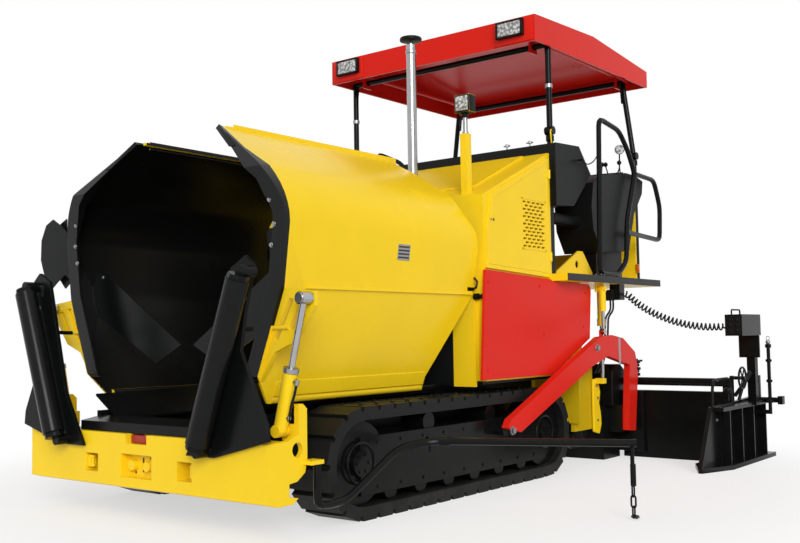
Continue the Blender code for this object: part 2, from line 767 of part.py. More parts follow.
def push_arm(name, side):
    """The folding plate that carries one push roller, hinged on the beam."""
    outline = [(side * (ARM_PIVOT_X + across * ARM_HEIGHT), ARM_FOOT + up * ARM_HEIGHT)
               for across, up in arm_shares]
    back = -RUNNING
    plate = prism("y", outline, back - ARM_PLATE, back)
    boss = rod((side * ARM_PIVOT_X, back - WELD, ARM_PIVOT_Z),
               (side * ARM_PIVOT_X, -FIT, ARM_PIVOT_Z), ARM_BOSS_RADIUS)
    pieces = [plate, boss]
    low, high, along = roller_ends(side)
    for end, way in ((low, -along), (high, along)):
        pieces.append(rod(end + way * FIT, end + way * ROLLER_CAP, ROLLER_CAP_RADIUS))
        middle = end + way * (ROLLER_STUB_RADIUS + WELD)
        pieces.append(rod(middle, (middle.x, back - WELD, middle.z), ROLLER_STUB_RADIUS))
    return fuse(name, paint("black_paint"), pieces,
                origin=(side * ARM_PIVOT_X, -RUNNING, ARM_PIVOT_Z))


def push_roller(name, side):
    low, high, along = roller_ends(side)
    drum = rod(low + along * RUNNING, high - along * RUNNING, ROLLER_RADIUS, 20)
    return fuse(name, paint("dark_steel"), [drum, rod(low, high, SPINDLE_RADIUS)],
                origin=tuple(low))


def wing_section():
    """The wing's outer line from its foot to its lip, in X and Z."""
    widest = Vector((WING_WIDEST_X, WING_WIDEST_Z))
    shoulder = Vector((WING_SHOULDER_X, WING_SHOULDER_Z))
    corner = Vector((WING_WIDEST_X, (WING_WIDEST_Z + WING_SHOULDER_Z) / 2))
    points = [(WING_HINGE_X + WING_SHEET / 2, WING_FOOT_Z), (WING_CREASE_X, WING_CREASE_Z)]
    steps = 6
    for step in range(steps + 1):
        share = step / steps
        points.append(tuple(widest.lerp(corner, share).lerp(corner.lerp(shoulder, share), share)))
    points.append((WING_LIP_X, WING_LIP_Z))
    return points


def offset_line(points, distance):
    """An open line moved to its left by one distance."""
    result = []
    last = len(points) - 1
    for index, point in enumerate(points):
        here = Vector(point)
        back = (here - Vector(points[index - 1])).normalized() if index else None
        ahead = (Vector(points[index + 1]) - here).normalized() if index < last else None
        normals = [Vector((-way.y, way.x)) for way in (back, ahead) if way is not None]
        middle = sum(normals, Vector((0.0, 0.0))).normalized()
        result.append(tuple(here + middle * (distance / middle.dot(normals[0]))))
    return result


def hopper_wing(name, side):
    """One curved wing with its front flange, lip, hinge tube and cylinder bracket."""
    line = wing_section()
    sheet = line + offset_line(line, WING_SHEET)[::-1]
    flange = offset_line(line, WING_SHEET / 2) + offset_line(line, WING_FLANGE)[::-1]
    reach = WING_REAR - WING_FRONT
    mirrored = [[(side * x, z) for x, z in outline] for outline in (sheet, flange)]
    shell = prism("y", mirrored[0], WING_FRONT - reach * 0.1, WING_REAR + OVERRUN)
    rim = prism("y", mirrored[1], WING_FRONT - OVERRUN, WING_FRONT + WING_SHEET)
    outline = scaled(wing_side_shares, (WING_FRONT, WING_FOOT_Z - OVERRUN / 10),
                     (reach, WING_LIP_Z - WING_FOOT_Z))
    keeper = prism("x", outline, 0.0, side * (WING_WIDEST_X + OVERRUN))
    trimmed = welded(shell, rim, kept_inside=keeper)
    lip_front = WING_FRONT + reach * 0.07
    lip = block((side * (WING_LIP_X - WING_LIP_DEPTH), lip_front, WING_LIP_Z - WING_SHEET),
                (side * (WING_LIP_X + WING_SHEET), WING_REAR - reach * 0.15, WING_LIP_Z))
    hinge = rod((side * WING_HINGE_X, WING_FRONT + reach * 0.08, WING_HINGE_Z),
                (side * WING_HINGE_X, WING_FRONT + reach * 0.825, WING_HINGE_Z),
                WING_HINGE_RADIUS, 12)
    crease = block((side * (WING_CREASE_X - WELD * 2), WING_FRONT + reach * 0.1, WING_CREASE_Z),
                   (side * (WING_CREASE_X + CREASE_STEP), WING_REAR - reach * 0.02,
                    WING_CREASE_Z + CREASE_BAR))
    flap = [(side * x, z) for x, z in
            scaled(flap_shares, (0.0, WING_FOOT_Z), (WING_CREASE_X, WING_SHOULDER_Z - WING_FOOT_Z))]
    pieces = [trimmed, lip, hinge, crease, prism("y", flap, FLAP_Y, FLAP_Y + FLAP_PLATE)]
    return fuse(name, paint("yellow_paint"), [*pieces, *wing_bracket(side)],
                origin=(side * WING_HINGE_X, 0.0, WING_HINGE_Z))


def wing_bracket(side):
    """The slotted plate on the wing that its cylinder's rod pins to, with its cross bar."""
    slope = (WING_CREASE_X - WING_HINGE_X) / (WING_CREASE_Z - WING_FOOT_Z)
    low_z = WING_CREASE_Z - BRACKET_HEIGHT
    low_x = WING_CREASE_X - slope * BRACKET_HEIGHT - WING_SHEET / 2
    size = (WING_ROD_X + RAM_EYE_RADIUS - low_x, BRACKET_HEIGHT)
    outline = [(side * x, z) for x, z in scaled(bracket_shares, (low_x, low_z), size)]
    slots = [prism("y", [(side * x, z) for x, z in scaled(shares, (low_x, low_z), size)],
                   BRACKET_Y - OVERRUN, BRACKET_Y + BRACKET_PLATE + OVERRUN)
             for shares in bracket_slot_shares]
    plate = welded(prism("y", outline, BRACKET_Y, BRACKET_Y + BRACKET_PLATE), cuts=slots)
    pin = rod((side * WING_ROD_X, WING_RAM_Y + RAM_EYE_HALF + FIT, WING_ROD_Z),
              (side * WING_ROD_X, BRACKET_Y + WELD, WING_ROD_Z), RAM_PIN_RADIUS)
    bar_z = low_z + BRACKET_HEIGHT * 0.58
    bar = rod((side * (low_x + slope * BRACKET_HEIGHT * 0.58), BRACKET_Y, bar_z),
              (side * (low_x + size[0] * 0.56), BRACKET_Y, bar_z), BRACKET_BAR_RADIUS, SMALL_SIDES)
    return plate, pin, bar


def ram_barrel(name, foot, head, across, sizes, surface):
    """A cylinder's barrel: its foot eye, tube and bore, along the line to the rod's eye."""
    radius, length, rod_radius, eye_radius, eye_half = sizes
    foot = Vector(foot)
    along = (Vector(head) - foot).normalized()
    pieces = [rod(foot, foot + along * length, radius),
              rod(foot - across * eye_half, foot + across * eye_half, eye_radius)]
    bore = rod(foot + along * (eye_radius + WELD), foot + along * (length + OVERRUN),
               rod_radius + FIT)
    return fuse(name, surface, pieces, [bore], origin=tuple(foot))


def ram_rod(name, foot, head, across, sizes, surface, engaged):
    """A cylinder's rod with the eye at its far end."""
    radius, length, rod_radius, eye_radius, eye_half = sizes
    foot = Vector(foot)
    head = Vector(head)
    along = (head - foot).normalized()
    pieces = [rod(foot + along * (length - engaged), head, rod_radius),
              rod(head - across * eye_half, head + across * eye_half, eye_radius)]
    return fuse(name, surface, pieces, origin=tuple(head))


def wing_rams(side, label):
    sizes = (WING_BARREL_RADIUS, WING_BARREL_LENGTH, WING_ROD_RADIUS, RAM_EYE_RADIUS, RAM_EYE_HALF)
    foot = (side * WING_BASE_X, WING_RAM_Y, WING_BASE_Z)
    head = (side * WING_ROD_X, WING_RAM_Y, WING_ROD_Z)
    across = Vector((0.0, 1.0, 0.0))
    ram_barrel("wing_barrel_" + label, foot, head, across, sizes, paint("yellow_paint"))
    ram_rod("wing_rod_" + label, foot, head, across, sizes, paint("chrome"), ROD_ENGAGED)


def chassis():
    """Side members, conveyor bed, decks, rear bulkhead, columns and the auger hanger."""
    outer = SIDE_MEMBER_IN + SIDE_MEMBER_PLATE
    front = BEAM_DEPTH + FIT
    bed_low = CONVEYOR_BED_Z - DECK_PLATE
    pieces = [block((-DECK_HALF, CHASSIS_REAR - BULKHEAD, SIDE_MEMBER_LOW),
                    (DECK_HALF, CHASSIS_REAR, BODY_LOW_TOP))]
    cuts = [block((-CONVEYOR_HALF - OVERRUN, CHASSIS_REAR - OVERRUN, SIDE_MEMBER_LOW + OVERRUN / 2),
                  (CONVEYOR_HALF + OVERRUN, CHASSIS_REAR + OVERRUN, TUNNEL_TOP))]
    for side in (1, -1):
        pieces.append(block((side * SIDE_MEMBER_IN, front, SIDE_MEMBER_LOW),
                            (side * outer, CHASSIS_REAR - WELD, SIDE_MEMBER_TOP)))
        pieces.append(block((side * SIDE_MEMBER_IN, BODY_FRONT, SIDE_MEMBER_TOP - WELD),
                            (side * outer, CHASSIS_REAR - WELD, CHASSIS_DECK_Z - WELD)))
        pieces.append(block((side * (COLUMN_X - COLUMN_PLATE), CHASSIS_REAR - WELD, COLUMN_LOW),
                            (side * COLUMN_X, COLUMN_REAR, COLUMN_TOP)))
        for place in (TRACK_FRONT_Y + CROSS_TUBE_RADIUS * 8, TRACK_REAR_Y - CROSS_TUBE_RADIUS * 8):
            pieces.append(rod((side * (outer - WELD), place, CROSS_TUBE_Z),
                              (side * (FRAME_IN - FIT), place, CROSS_TUBE_Z), CROSS_TUBE_RADIUS))
    pieces.append(block((-SIDE_MEMBER_IN - WELD, CONVEYOR_FRONT, bed_low),
                        (SIDE_MEMBER_IN + WELD, CONVEYOR_REAR - OVERRUN, CONVEYOR_BED_Z)))
    pieces.append(block((-DECK_HALF, BODY_FRONT, CHASSIS_DECK_Z - DECK_PLATE),
                        (DECK_HALF, CHASSIS_REAR - WELD, CHASSIS_DECK_Z)))
    body = welded(*pieces, cuts=cuts)
    hanger_top = SIDE_MEMBER_LOW + OVERRUN / 2
    hanger = [block((-AUGER_IN, AUGER_Y - AUGER_IN * 1.6, AUGER_Z - AUGER_IN * 1.6),
                    (AUGER_IN, AUGER_Y + AUGER_IN * 1.6, AUGER_Z + AUGER_IN * 1.6)),
              block((-AUGER_SHAFT_RADIUS, CHASSIS_REAR - WELD, AUGER_Z - AUGER_SHAFT_RADIUS),
                    (AUGER_SHAFT_RADIUS, AUGER_Y, hanger_top + WELD)),
              block((-AUGER_SHAFT_RADIUS * 3, CHASSIS_REAR - BULKHEAD, AUGER_Z - AUGER_SHAFT_RADIUS),
                    (AUGER_SHAFT_RADIUS * 3, CHASSIS_REAR, hanger_top))]
    return fuse("chassis", paint("yellow_paint"), [body, *hanger])


def hopper_box():
    """The fixed hopper bottom, its front apron and its rear wall."""
    edge = WING_HINGE_X - WING_HINGE_RADIUS - FIT
    wall_low = WING_REAR + FIT * 10
    wall_high = BODY_FRONT - FIT * 10
    wall_foot = TUNNEL_TOP + DECK_PLATE
    wall = [(-WING_CREASE_X, wall_foot), (WING_CREASE_X, wall_foot),
            (WING_CREASE_X, WING_WIDEST_Z), (WING_SHOULDER_X, WING_WIDEST_Z + OVERRUN * 4),
            (-WING_SHOULDER_X, WING_WIDEST_Z + OVERRUN * 4), (-WING_CREASE_X, WING_WIDEST_Z)]
    pieces = [prism("y", wall, wall_low, wall_high)]
    apron_rear = CONVEYOR_FRONT - OVERRUN / 2
    apron = ((BEAM_DEPTH / 5, BEAM_TOP + FIT), (BEAM_DEPTH * 0.8, BEAM_TOP + FIT),
             (BEAM_DEPTH * 1.2, FLOOR_INNER_Z), (apron_rear, FLOOR_INNER_Z),
             (apron_rear, FLOOR_INNER_Z + FLOOR_PLATE), (BEAM_DEPTH, FLOOR_INNER_Z + FLOOR_PLATE * 2),
             (BEAM_DEPTH / 5, FLOOR_INNER_Z + FLOOR_PLATE / 2))
    half = SIDE_MEMBER_IN - FIT
    pieces.append(prism("x", apron, -half, half))
    for side in (1, -1):
        low = WING_HINGE_Z - FLOOR_PLATE / 2
        strip = ((side * FLOOR_INNER_X, FLOOR_INNER_Z), (side * edge, low),
                 (side * edge, low + FLOOR_PLATE), (side * FLOOR_INNER_X, FLOOR_INNER_Z + FLOOR_PLATE))
        pieces.append(prism("y", strip, BEAM_DEPTH * 1.3, wall_low + WELD))
    return fuse("hopper_box", paint("black_paint"), pieces)


def stadium(front, rear, radius, middle, steps):
    """Points round a long loop with two half-round ends, clockwise from the top rear."""
    points = []
    for centre, start in ((rear, 90.0), (front, 270.0)):
        for step in range(steps + 1):
            angle = math.radians(start - 180.0 * step / steps)
            points.append((centre + radius * math.cos(angle), middle + radius * math.sin(angle)))
    return points


def loop_point(distance, front, rear, radius, middle):
    """Place and outward direction at a distance along such a loop."""
    straight = rear - front
    arc = math.pi * radius
    if distance < straight:
        return Vector((front + distance, middle + radius)), Vector((0.0, 1.0))
    distance -= straight
    if distance < arc:
        angle = math.pi / 2 - distance / radius
        way = Vector((math.cos(angle), math.sin(angle)))
        return Vector((rear, middle)) + way * radius, way
    distance -= arc
    if distance < straight:
        return Vector((rear - distance, middle - radius)), Vector((0.0, -1.0))
    angle = -math.pi / 2 - (distance - straight) / radius
    way = Vector((math.cos(angle), math.sin(angle)))
    return Vector((front, middle)) + way * radius, way


def toothed_loop(front, rear, radius, middle, height, count, width_share):
    """The outer line of a loop with equal raised pads, as points round it."""
    length = 2 * (rear - front) + math.tau * radius
    points = []
    for index in range(count):
        start = length * index / count
        for share, lift in ((0.0, 0.0), (0.04, height), (width_share - 0.04, height),
                            (width_share, 0.0)):
            place, way = loop_point(start + share * length / count, front, rear, radius, middle)
            points.append(tuple(place + way * lift))
        for step in range(1, BEND_STEPS):
            share = width_share + (1.0 - width_share) * step / BEND_STEPS
            place, way = loop_point(start + share * length / count, front, rear, radius, middle)
            if way.x != 0.0 and width_share < 0.5:
                points.append(tuple(place))
    return points


def band(one_edge, other_edge, outer, inner):
    """A closed band across X: the outer outline less the inner one."""
    low, high = sorted((one_edge, other_edge))
    return welded(prism("x", outer, low, high),
                  cuts=[prism("x", inner, low - OVERRUN, high + OVERRUN)])


def conveyor():
    """The slat conveyor as one closed loop round its bed."""
    middle = CONVEYOR_BED_Z + FIT - CONVEYOR_INNER_RADIUS
    front = CONVEYOR_FRONT
    rear = CONVEYOR_REAR - CONVEYOR_INNER_RADIUS
    radius = CONVEYOR_INNER_RADIUS + CONVEYOR_BELT
    length = 2 * (rear - front) + math.tau * radius
    count = round(length / CONVEYOR_PITCH)
    outer = toothed_loop(front, rear, radius, middle, CONVEYOR_SLAT, count,
                         CONVEYOR_SLAT_WIDTH / CONVEYOR_PITCH)
    inner = stadium(front, rear, CONVEYOR_INNER_RADIUS, middle, 6)
    loop = band(-CONVEYOR_HALF, CONVEYOR_HALF, outer, inner)
    return fuse("conveyor", paint("dark_steel"), [loop])


def track(name, side):
    """One closed track with its pads in the outline."""
    middle = TRACK_RADIUS
    plate = TRACK_RADIUS - TRACK_PAD
    outer = toothed_loop(TRACK_FRONT_Y, TRACK_REAR_Y, plate, middle, TRACK_PAD, TRACK_PADS,
                         TRACK_PAD_SHARE)
    inner = stadium(TRACK_FRONT_Y, TRACK_REAR_Y, plate - TRACK_CHAIN, middle, 12)
    loop = band(side * TRACK_IN, side * TRACK_OUT, outer, inner)
    return fuse(name, paint("rubber"), [loop])


def track_frame(name, side):
    """The box that carries the idler, sprocket and rollers, with the tow pin."""
    inner = TRACK_RADIUS - TRACK_PAD - TRACK_CHAIN - FIT
    middle = TRACK_RADIUS
    pieces = [block((side * FRAME_IN, TRACK_FRONT_Y, FRAME_LOW),
                    (side * FRAME_OUT, TRACK_REAR_Y, FRAME_TOP))]
    for place in (TRACK_FRONT_Y, TRACK_REAR_Y):
        pieces.append(rod((side * WHEEL_IN, place, middle), (side * WHEEL_OUT, place, middle),
                          inner, FINE_SIDES))
        pieces.append(rod((side * WHEEL_IN, place, middle),
                          (side * (FRAME_OUT + HUB_PROUD / 2), place, middle), HUB_RADIUS))
    gap = (TRACK_REAR_Y - TRACK_FRONT_Y) / (ROLLER_WHEELS + 1)
    for index in range(ROLLER_WHEELS):
        place = TRACK_FRONT_Y + gap * (index + 1)
        low = middle - inner + ROLLER_WHEEL_RADIUS
        pieces.append(rod((side * WHEEL_IN, place, low), (side * WHEEL_OUT, place, low),
                          ROLLER_WHEEL_RADIUS, 14))
    for share in (0.33, 0.67):
        place = TRACK_FRONT_Y + (TRACK_REAR_Y - TRACK_FRONT_Y) * share
        high = middle + inner - ROLLER_WHEEL_RADIUS
        pieces.append(rod((side * WHEEL_IN, place, high), (side * WHEEL_OUT, place, high),
                          ROLLER_WHEEL_RADIUS, 14))
    pieces.append(rod((side * (FRAME_OUT - WELD), TOW_PIVOT_Y, TOW_PIVOT_Z),
                      (side * (TOW_IN - FIT), TOW_PIVOT_Y, TOW_PIVOT_Z), TOW_PIN_RADIUS))
    return fuse(name, paint("black_paint"), pieces)


def hood_height(place):
    """Height of the sloping hood at a place along Y."""
    share = (place - BODY_FRONT) / (HOOD_SLOPE_END - BODY_FRONT)
    return HOOD_FRONT_Z + (HOOD_REAR_Z - HOOD_FRONT_Z) * share


def body_shell():
    """The hollow engine housing with its door, lid, exhaust and lamp openings."""
    low = CHASSIS_DECK_Z + FIT
    outline = [(BODY_FRONT, low), (BODY_FRONT, HOOD_FRONT_Z), (HOOD_SLOPE_END, HOOD_REAR_Z),
               (HOOD_REAR, HOOD_REAR_Z), (HOOD_REAR, BODY_LOW_TOP), (BODY_LOW_REAR, BODY_LOW_TOP),
               (BODY_LOW_REAR, low)]
    inner = BODY_OUT - BODY_SHEET
    shell = prism("x", outline, -BODY_OUT, BODY_OUT)
    hollow = prism("x", inset(outline, BODY_SHEET), -inner, inner)
    front = DOOR_CORNER_Y + DOOR_LAND
    rear = DOOR_REAR - DOOR_LAND
    top_drop = DOOR_TOP_BELOW_HOOD + DOOR_LAND
    doorway = [(DOOR_FRONT + DOOR_LAND, DOOR_LOW_FRONT_Z + DOOR_LAND),
               (rear, DOOR_LOW_REAR_Z + DOOR_LAND),
               (rear, hood_height(rear) - top_drop), (front, hood_height(front) - top_drop),
               (DOOR_FRONT + DOOR_LAND, DOOR_SHOULDER_Z)]
    opening = [(LID_FRONT + DOOR_LAND, hood_height(LID_FRONT) - OVERRUN),
               (LID_REAR - DOOR_LAND, hood_height(LID_REAR) - OVERRUN),
               (LID_REAR - DOOR_LAND, HOOD_REAR_Z + OVERRUN),
               (LID_FRONT + DOOR_LAND, HOOD_REAR_Z + OVERRUN)]
    cuts = [hollow, prism("x", doorway, -BODY_OUT - OVERRUN, BODY_OUT + OVERRUN),
            prism("x", opening, -LID_HALF + DOOR_LAND, LID_HALF - DOOR_LAND),
            rod((EXHAUST_X, STACK_Y, EXHAUST_FOOT - OVERRUN), (EXHAUST_X, STACK_Y, HOOD_REAR_Z),
                EXHAUST_RADIUS + FIT, ROUND_SIDES),
            block((LAMP_X - LAMP_POST_HALF - FIT, STACK_Y - LAMP_POST_HALF - FIT, EXHAUST_FOOT),
                  (LAMP_X + LAMP_POST_HALF + FIT, STACK_Y + LAMP_POST_HALF + FIT, HOOD_REAR_Z))]
    return fuse("body_shell", paint("yellow_paint"), [shell], cuts)


def engine_block():
    low = CHASSIS_DECK_Z + BODY_SHEET + FIT * 2
    engine = block((-ENGINE_HALF, ENGINE_FRONT, low), (ENGINE_HALF, ENGINE_REAR, low + ENGINE_HEIGHT))
    return fuse("engine_block", paint("dark_steel"), [engine])


def engine_door(name, side):
    """The side door, hinged on its rear edge."""
    drop = DOOR_TOP_BELOW_HOOD
    outline = [(DOOR_FRONT, DOOR_LOW_FRONT_Z), (DOOR_REAR, DOOR_LOW_REAR_Z),
               (DOOR_REAR, hood_height(DOOR_REAR) - drop),
               (DOOR_CORNER_Y, hood_height(DOOR_CORNER_Y) - drop),
               (DOOR_FRONT, DOOR_SHOULDER_Z)]
    skin = BODY_OUT + FIT
    pieces = [prism("x", outline, side * skin, side * (skin + DOOR_PLATE))]
    for low in (HINGE_LOW_Z, HINGE_HIGH_Z):
        pieces.append(rod((side * HINGE_OUT, HINGE_Y, low), (side * HINGE_OUT, HINGE_Y, low + HINGE_LENGTH),
                          HINGE_RADIUS, SMALL_SIDES))
    return fuse(name, paint("yellow_paint"), pieces, grille_slots(side, skin),
                origin=(side * HINGE_OUT, HINGE_Y, DOOR_LOW_REAR_Z))


def grille_slots(side, skin):
    """Cutters for the door's grille: rows of slots, every other row half a step on."""
    cuts = []
    for row in range(GRILLE_ROWS):
        shift = SLOT_STEP_Y / 2 * (row % 2)
        low = GRILLE_LOW + SLOT_STEP_Z * row
        for column in range(GRILLE_COLUMNS - row % 2):
            front = GRILLE_FRONT + shift + SLOT_STEP_Y * column
            cuts.append(block((side * (skin - OVERRUN), front, low),
                              (side * (skin + DOOR_PLATE + OVERRUN), front + SLOT_LENGTH, low + SLOT_HEIGHT)))
    return cuts


def hood_lid():
    """The lid on the sloping hood, hinged at its rear edge."""
    outline = [(place, hood_height(place) + lift) for place, lift in
               ((LID_FRONT, FIT * 2), (LID_REAR, FIT * 2), (LID_REAR, LID_PLATE), (LID_FRONT, LID_PLATE))]
    plate = prism("x", outline, -LID_HALF, LID_HALF)
    return fuse("hood_lid", paint("yellow_paint"), [plate],
                origin=(0.0, LID_REAR, hood_height(LID_REAR) + LID_PLATE))


def side_panel(name, side):
    """The red panel below the engine door."""
    top = DOOR_LOW_FRONT_Z - RUNNING * 2
    length = PANEL_REAR - PANEL_FRONT
    outline = scaled(panel_shares, (PANEL_FRONT, PANEL_LOW), (length, top - PANEL_LOW))
    skin = BODY_OUT + FIT
    plate = prism("x", outline, side * skin, side * (skin + DOOR_PLATE))
    return fuse(name, paint("red_paint"), [plate])


def exhaust():
    top = EXHAUST_TOP
    pieces = [rod((EXHAUST_X, STACK_Y, EXHAUST_FOOT), (EXHAUST_X, STACK_Y, top), EXHAUST_RADIUS),
              rod((EXHAUST_X, STACK_Y, top - WELD), (EXHAUST_X, STACK_Y, top + EXHAUST_CAP_GAP + WELD),
                  EXHAUST_RADIUS / 3, SMALL_SIDES),
              rod((EXHAUST_X, STACK_Y, top + EXHAUST_CAP_GAP),
                  (EXHAUST_X, STACK_Y, top + EXHAUST_CAP_GAP + EXHAUST_CAP), EXHAUST_CAP_RADIUS, 20)]
    return fuse("exhaust", paint("chrome"), pieces)


def lamp_post():
    half = LAMP_POST_HALF
    pieces = [block((LAMP_X - half, STACK_Y - half, EXHAUST_FOOT),
                    (LAMP_X + half, STACK_Y + half, LAMP_POST_TOP)),
              rod((LAMP_X, STACK_Y, LAMP_POST_TOP - WELD), (LAMP_X, STACK_Y, LAMP_ROD_TOP + WELD),
                  LAMP_ROD_RADIUS, SMALL_SIDES),
              block((LAMP_X - LAMP_SIZE / 2, STACK_Y - LAMP_DEPTH / 2, LAMP_ROD_TOP),
                    (LAMP_X + LAMP_SIZE / 2, STACK_Y + LAMP_DEPTH / 2, LAMP_ROD_TOP + LAMP_SIZE))]
    return fuse("lamp_post", paint("yellow_paint"), pieces)


def platform():
    """The operator's floor with rear guard, roof post stubs, seat base, lift lugs and gland."""
    pieces = [block((-PLATFORM_HALF, PLATFORM_FRONT, PLATFORM_LOW),
                    (PLATFORM_HALF, PLATFORM_REAR, PLATFORM_TOP)),
              block((-GUARD_HALF, GUARD_Y, PLATFORM_TOP - WELD),
                    (GUARD_HALF, GUARD_Y + GUARD_SHEET, GUARD_LOW_TOP)),
              block((SEAT_X - SEAT_HALF * 0.7, SEAT_FRONT + OVERRUN, PLATFORM_TOP - WELD),
                    (SEAT_X + SEAT_HALF * 0.7, SEAT_REAR - OVERRUN, SEAT_BASE_TOP)),
              block((GLAND_X - GLAND_HALF * 2, GLAND_Y - GLAND_HALF, GLAND_Z - GLAND_HALF),
                    (GLAND_X, GLAND_Y + GLAND_HALF, PLATFORM_LOW + WELD))]
    rail = scaled(foot_rail_shares, (FOOT_RAIL_Y, PLATFORM_TOP - WELD),
                  (FOOT_RAIL_DEPTH, FOOT_RAIL_HEIGHT))
    for side in (1, -1):
        pieces.append(block((side * (GUARD_HALF - GUARD_STILE), GUARD_Y, PLATFORM_TOP - WELD),
                            (side * GUARD_HALF, GUARD_Y + GUARD_SHEET, GUARD_TOP)))
        inner = side * (GUARD_HALF - FOOT_RAIL_PLATE)
        hole_y = FOOT_RAIL_Y + FOOT_RAIL_DEPTH * 0.56
        hole_z = PLATFORM_TOP + FOOT_RAIL_HEIGHT * 0.45
        hole = rod((inner - side * OVERRUN, hole_y, hole_z),
                   (side * (GUARD_HALF + OVERRUN), hole_y, hole_z), FOOT_RAIL_HOLE)
        pieces.append(welded(prism("x", rail, inner, side * GUARD_HALF), cuts=[hole]))
        post = [(side * POST_X, POST_REAR_Y, PLATFORM_TOP - WELD),
                (side * POST_X, POST_REAR_Y, POST_PIVOT_Z - POST_BASE_RADIUS - FIT)]
        pieces.append(rod(*post, POST_RADIUS))
        lug_out = TOW_IN - WELD * 2
        pieces.append(block((side * (lug_out - LIFT_LUG), LIFT_Y - LIFT_EYE_RADIUS * 1.6,
                             LIFT_TOP_Z - LIFT_EYE_RADIUS),
                            (side * lug_out, LIFT_Y + LIFT_EYE_RADIUS * 1.6, PLATFORM_LOW + WELD)))
        pieces.append(rod((side * (lug_out - WELD / 2), LIFT_Y, LIFT_TOP_Z),
                          (side * (TOW_IN - FIT), LIFT_Y, LIFT_TOP_Z), LIFT_EYE_RADIUS * 0.7,
                          SMALL_SIDES))
    return fuse("platform", paint("yellow_paint"), pieces)


def dashboard():
    """The full-width instrument fairing with the front roof post stubs."""
    outline = scaled(dash_shares, (DASH_FRONT, DASH_LOW), (DASH_DEPTH, DASH_HEIGHT))
    pieces = [prism("x", outline, -DASH_HALF, DASH_HALF)]
    for side in (1, -1):
        pieces.append(rod((side * POST_X, POST_FRONT_Y, DASH_LOW + DASH_HEIGHT / 2),
                          (side * POST_X, POST_FRONT_Y, POST_PIVOT_Z - POST_BASE_RADIUS - FIT),
                          POST_RADIUS))
        pieces.append(block((side * (DASH_HALF - OVERRUN * 1.5), DASH_FRONT, PLATFORM_TOP + FIT),
                            (side * (DASH_HALF - OVERRUN), DASH_FRONT + OVERRUN, DASH_LOW + WELD * 4)))
    return fuse("dashboard", paint("black_plastic"), pieces)


def console():
    """The moulded control console on its pedestal, with its tube to the dashboard side."""
    outline = scaled(console_shares, (CONSOLE_FRONT, CONSOLE_LOW), (CONSOLE_LENGTH, CONSOLE_HEIGHT))
    pieces = [prism("x", outline, CONSOLE_IN, CONSOLE_OUT),
              block((CONSOLE_IN + PEDESTAL_INSET, PEDESTAL_FRONT, PLATFORM_TOP + FIT),
                    (CONSOLE_OUT - PEDESTAL_INSET, PEDESTAL_REAR, CONSOLE_LOW + OVERRUN)),
              rod((STEER_TUBE_X, DASH_FRONT + OVERRUN * 3, STEER_TUBE_Z),
                  (STEER_TUBE_X, CONSOLE_FRONT + OVERRUN * 2, STEER_TUBE_Z), STEER_TUBE_RADIUS)]
    return fuse("console", paint("black_plastic"), pieces)


def seat_cushion():
    """The seat's padding: a squab and a backrest in one."""
    low = SEAT_BASE_TOP + FIT
    outline = [(SEAT_FRONT, low), (SEAT_REAR, low), (SEAT_REAR + SEAT_CUSHION / 2, SEAT_BACK_TOP),
               (SEAT_REAR - SEAT_BACK_DEPTH / 2, SEAT_BACK_TOP),
               (SEAT_REAR - SEAT_BACK_DEPTH, low + SEAT_CUSHION), (SEAT_FRONT, low + SEAT_CUSHION)]
    return fuse("seat_cushion", paint("seat_cloth"),
                [prism("x", outline, SEAT_X - SEAT_HALF, SEAT_X + SEAT_HALF)])


def handrail(name, side):
    """The joined pair of hand loops at one edge of the platform."""
    origin = (RAIL_FRONT, PLATFORM_TOP + RAIL_RADIUS + FIT)
    size = (RAIL_DEPTH, RAIL_HEIGHT)
    front = [(side * RAIL_X, y, z) for y, z in scaled(rail_shares, origin, size)]
    rear = [(side * RAIL_X, y, z) for y, z in scaled(rear_loop_shares, origin, size)]
    pieces = [tube(rounded(front, 0.06, 3, True), RAIL_RADIUS, 8, True),
              tube(rounded(rear, 0.06, 3), RAIL_RADIUS, 8)]
    return fuse(name, paint("black_paint"), pieces)


def canopy_roof():
    """The red roof, open below, with its rails and the lugs round the post tubes."""
    outline = scaled(roof_shares, (ROOF_FRONT, ROOF_LOW), (ROOF_LENGTH, ROOF_HEIGHT))
    inner = inset(outline, ROOF_SHEET)
    inner[0] = (inner[0][0], ROOF_LOW - OVERRUN)
    inner[-1] = (inner[-1][0], ROOF_LOW - OVERRUN)
    shell = welded(prism("x", outline, -ROOF_HALF, ROOF_HALF),
                   cuts=[prism("x", inner, -ROOF_HALF + ROOF_SHEET, ROOF_HALF - ROOF_SHEET)])
    pieces = [shell]
    cuts = []
    for side in (1, -1):
        pieces.append(rod((side * ROOF_RAIL_X, ROOF_FRONT + WELD, ROOF_RAIL_Z),
                          (side * ROOF_RAIL_X, ROOF_FRONT + ROOF_LENGTH - WELD, ROOF_RAIL_Z),
                          ROOF_RAIL_RADIUS, SMALL_SIDES))
        for place in (POST_FRONT_Y, POST_REAR_Y):
            pieces.append(block((side * ROOF_RAIL_X - ROOF_LUG / 2, place - ROOF_LUG_HALF,
                                 POST_TOP_Z - ROOF_LUG_HALF),
                                (side * ROOF_RAIL_X + ROOF_LUG / 2, place + ROOF_LUG_HALF, ROOF_RAIL_Z)))
    for place in (POST_FRONT_Y, POST_REAR_Y):
        cuts.append(rod((-ROOF_HALF + OVERRUN, place, POST_TOP_Z),
                        (ROOF_HALF - OVERRUN, place, POST_TOP_Z), POST_RADIUS + FIT, FINE_SIDES))
    return fuse("canopy_roof", paint("red_paint"), pieces, cuts,
                origin=(0.0, POST_FRONT_Y, POST_TOP_Z))


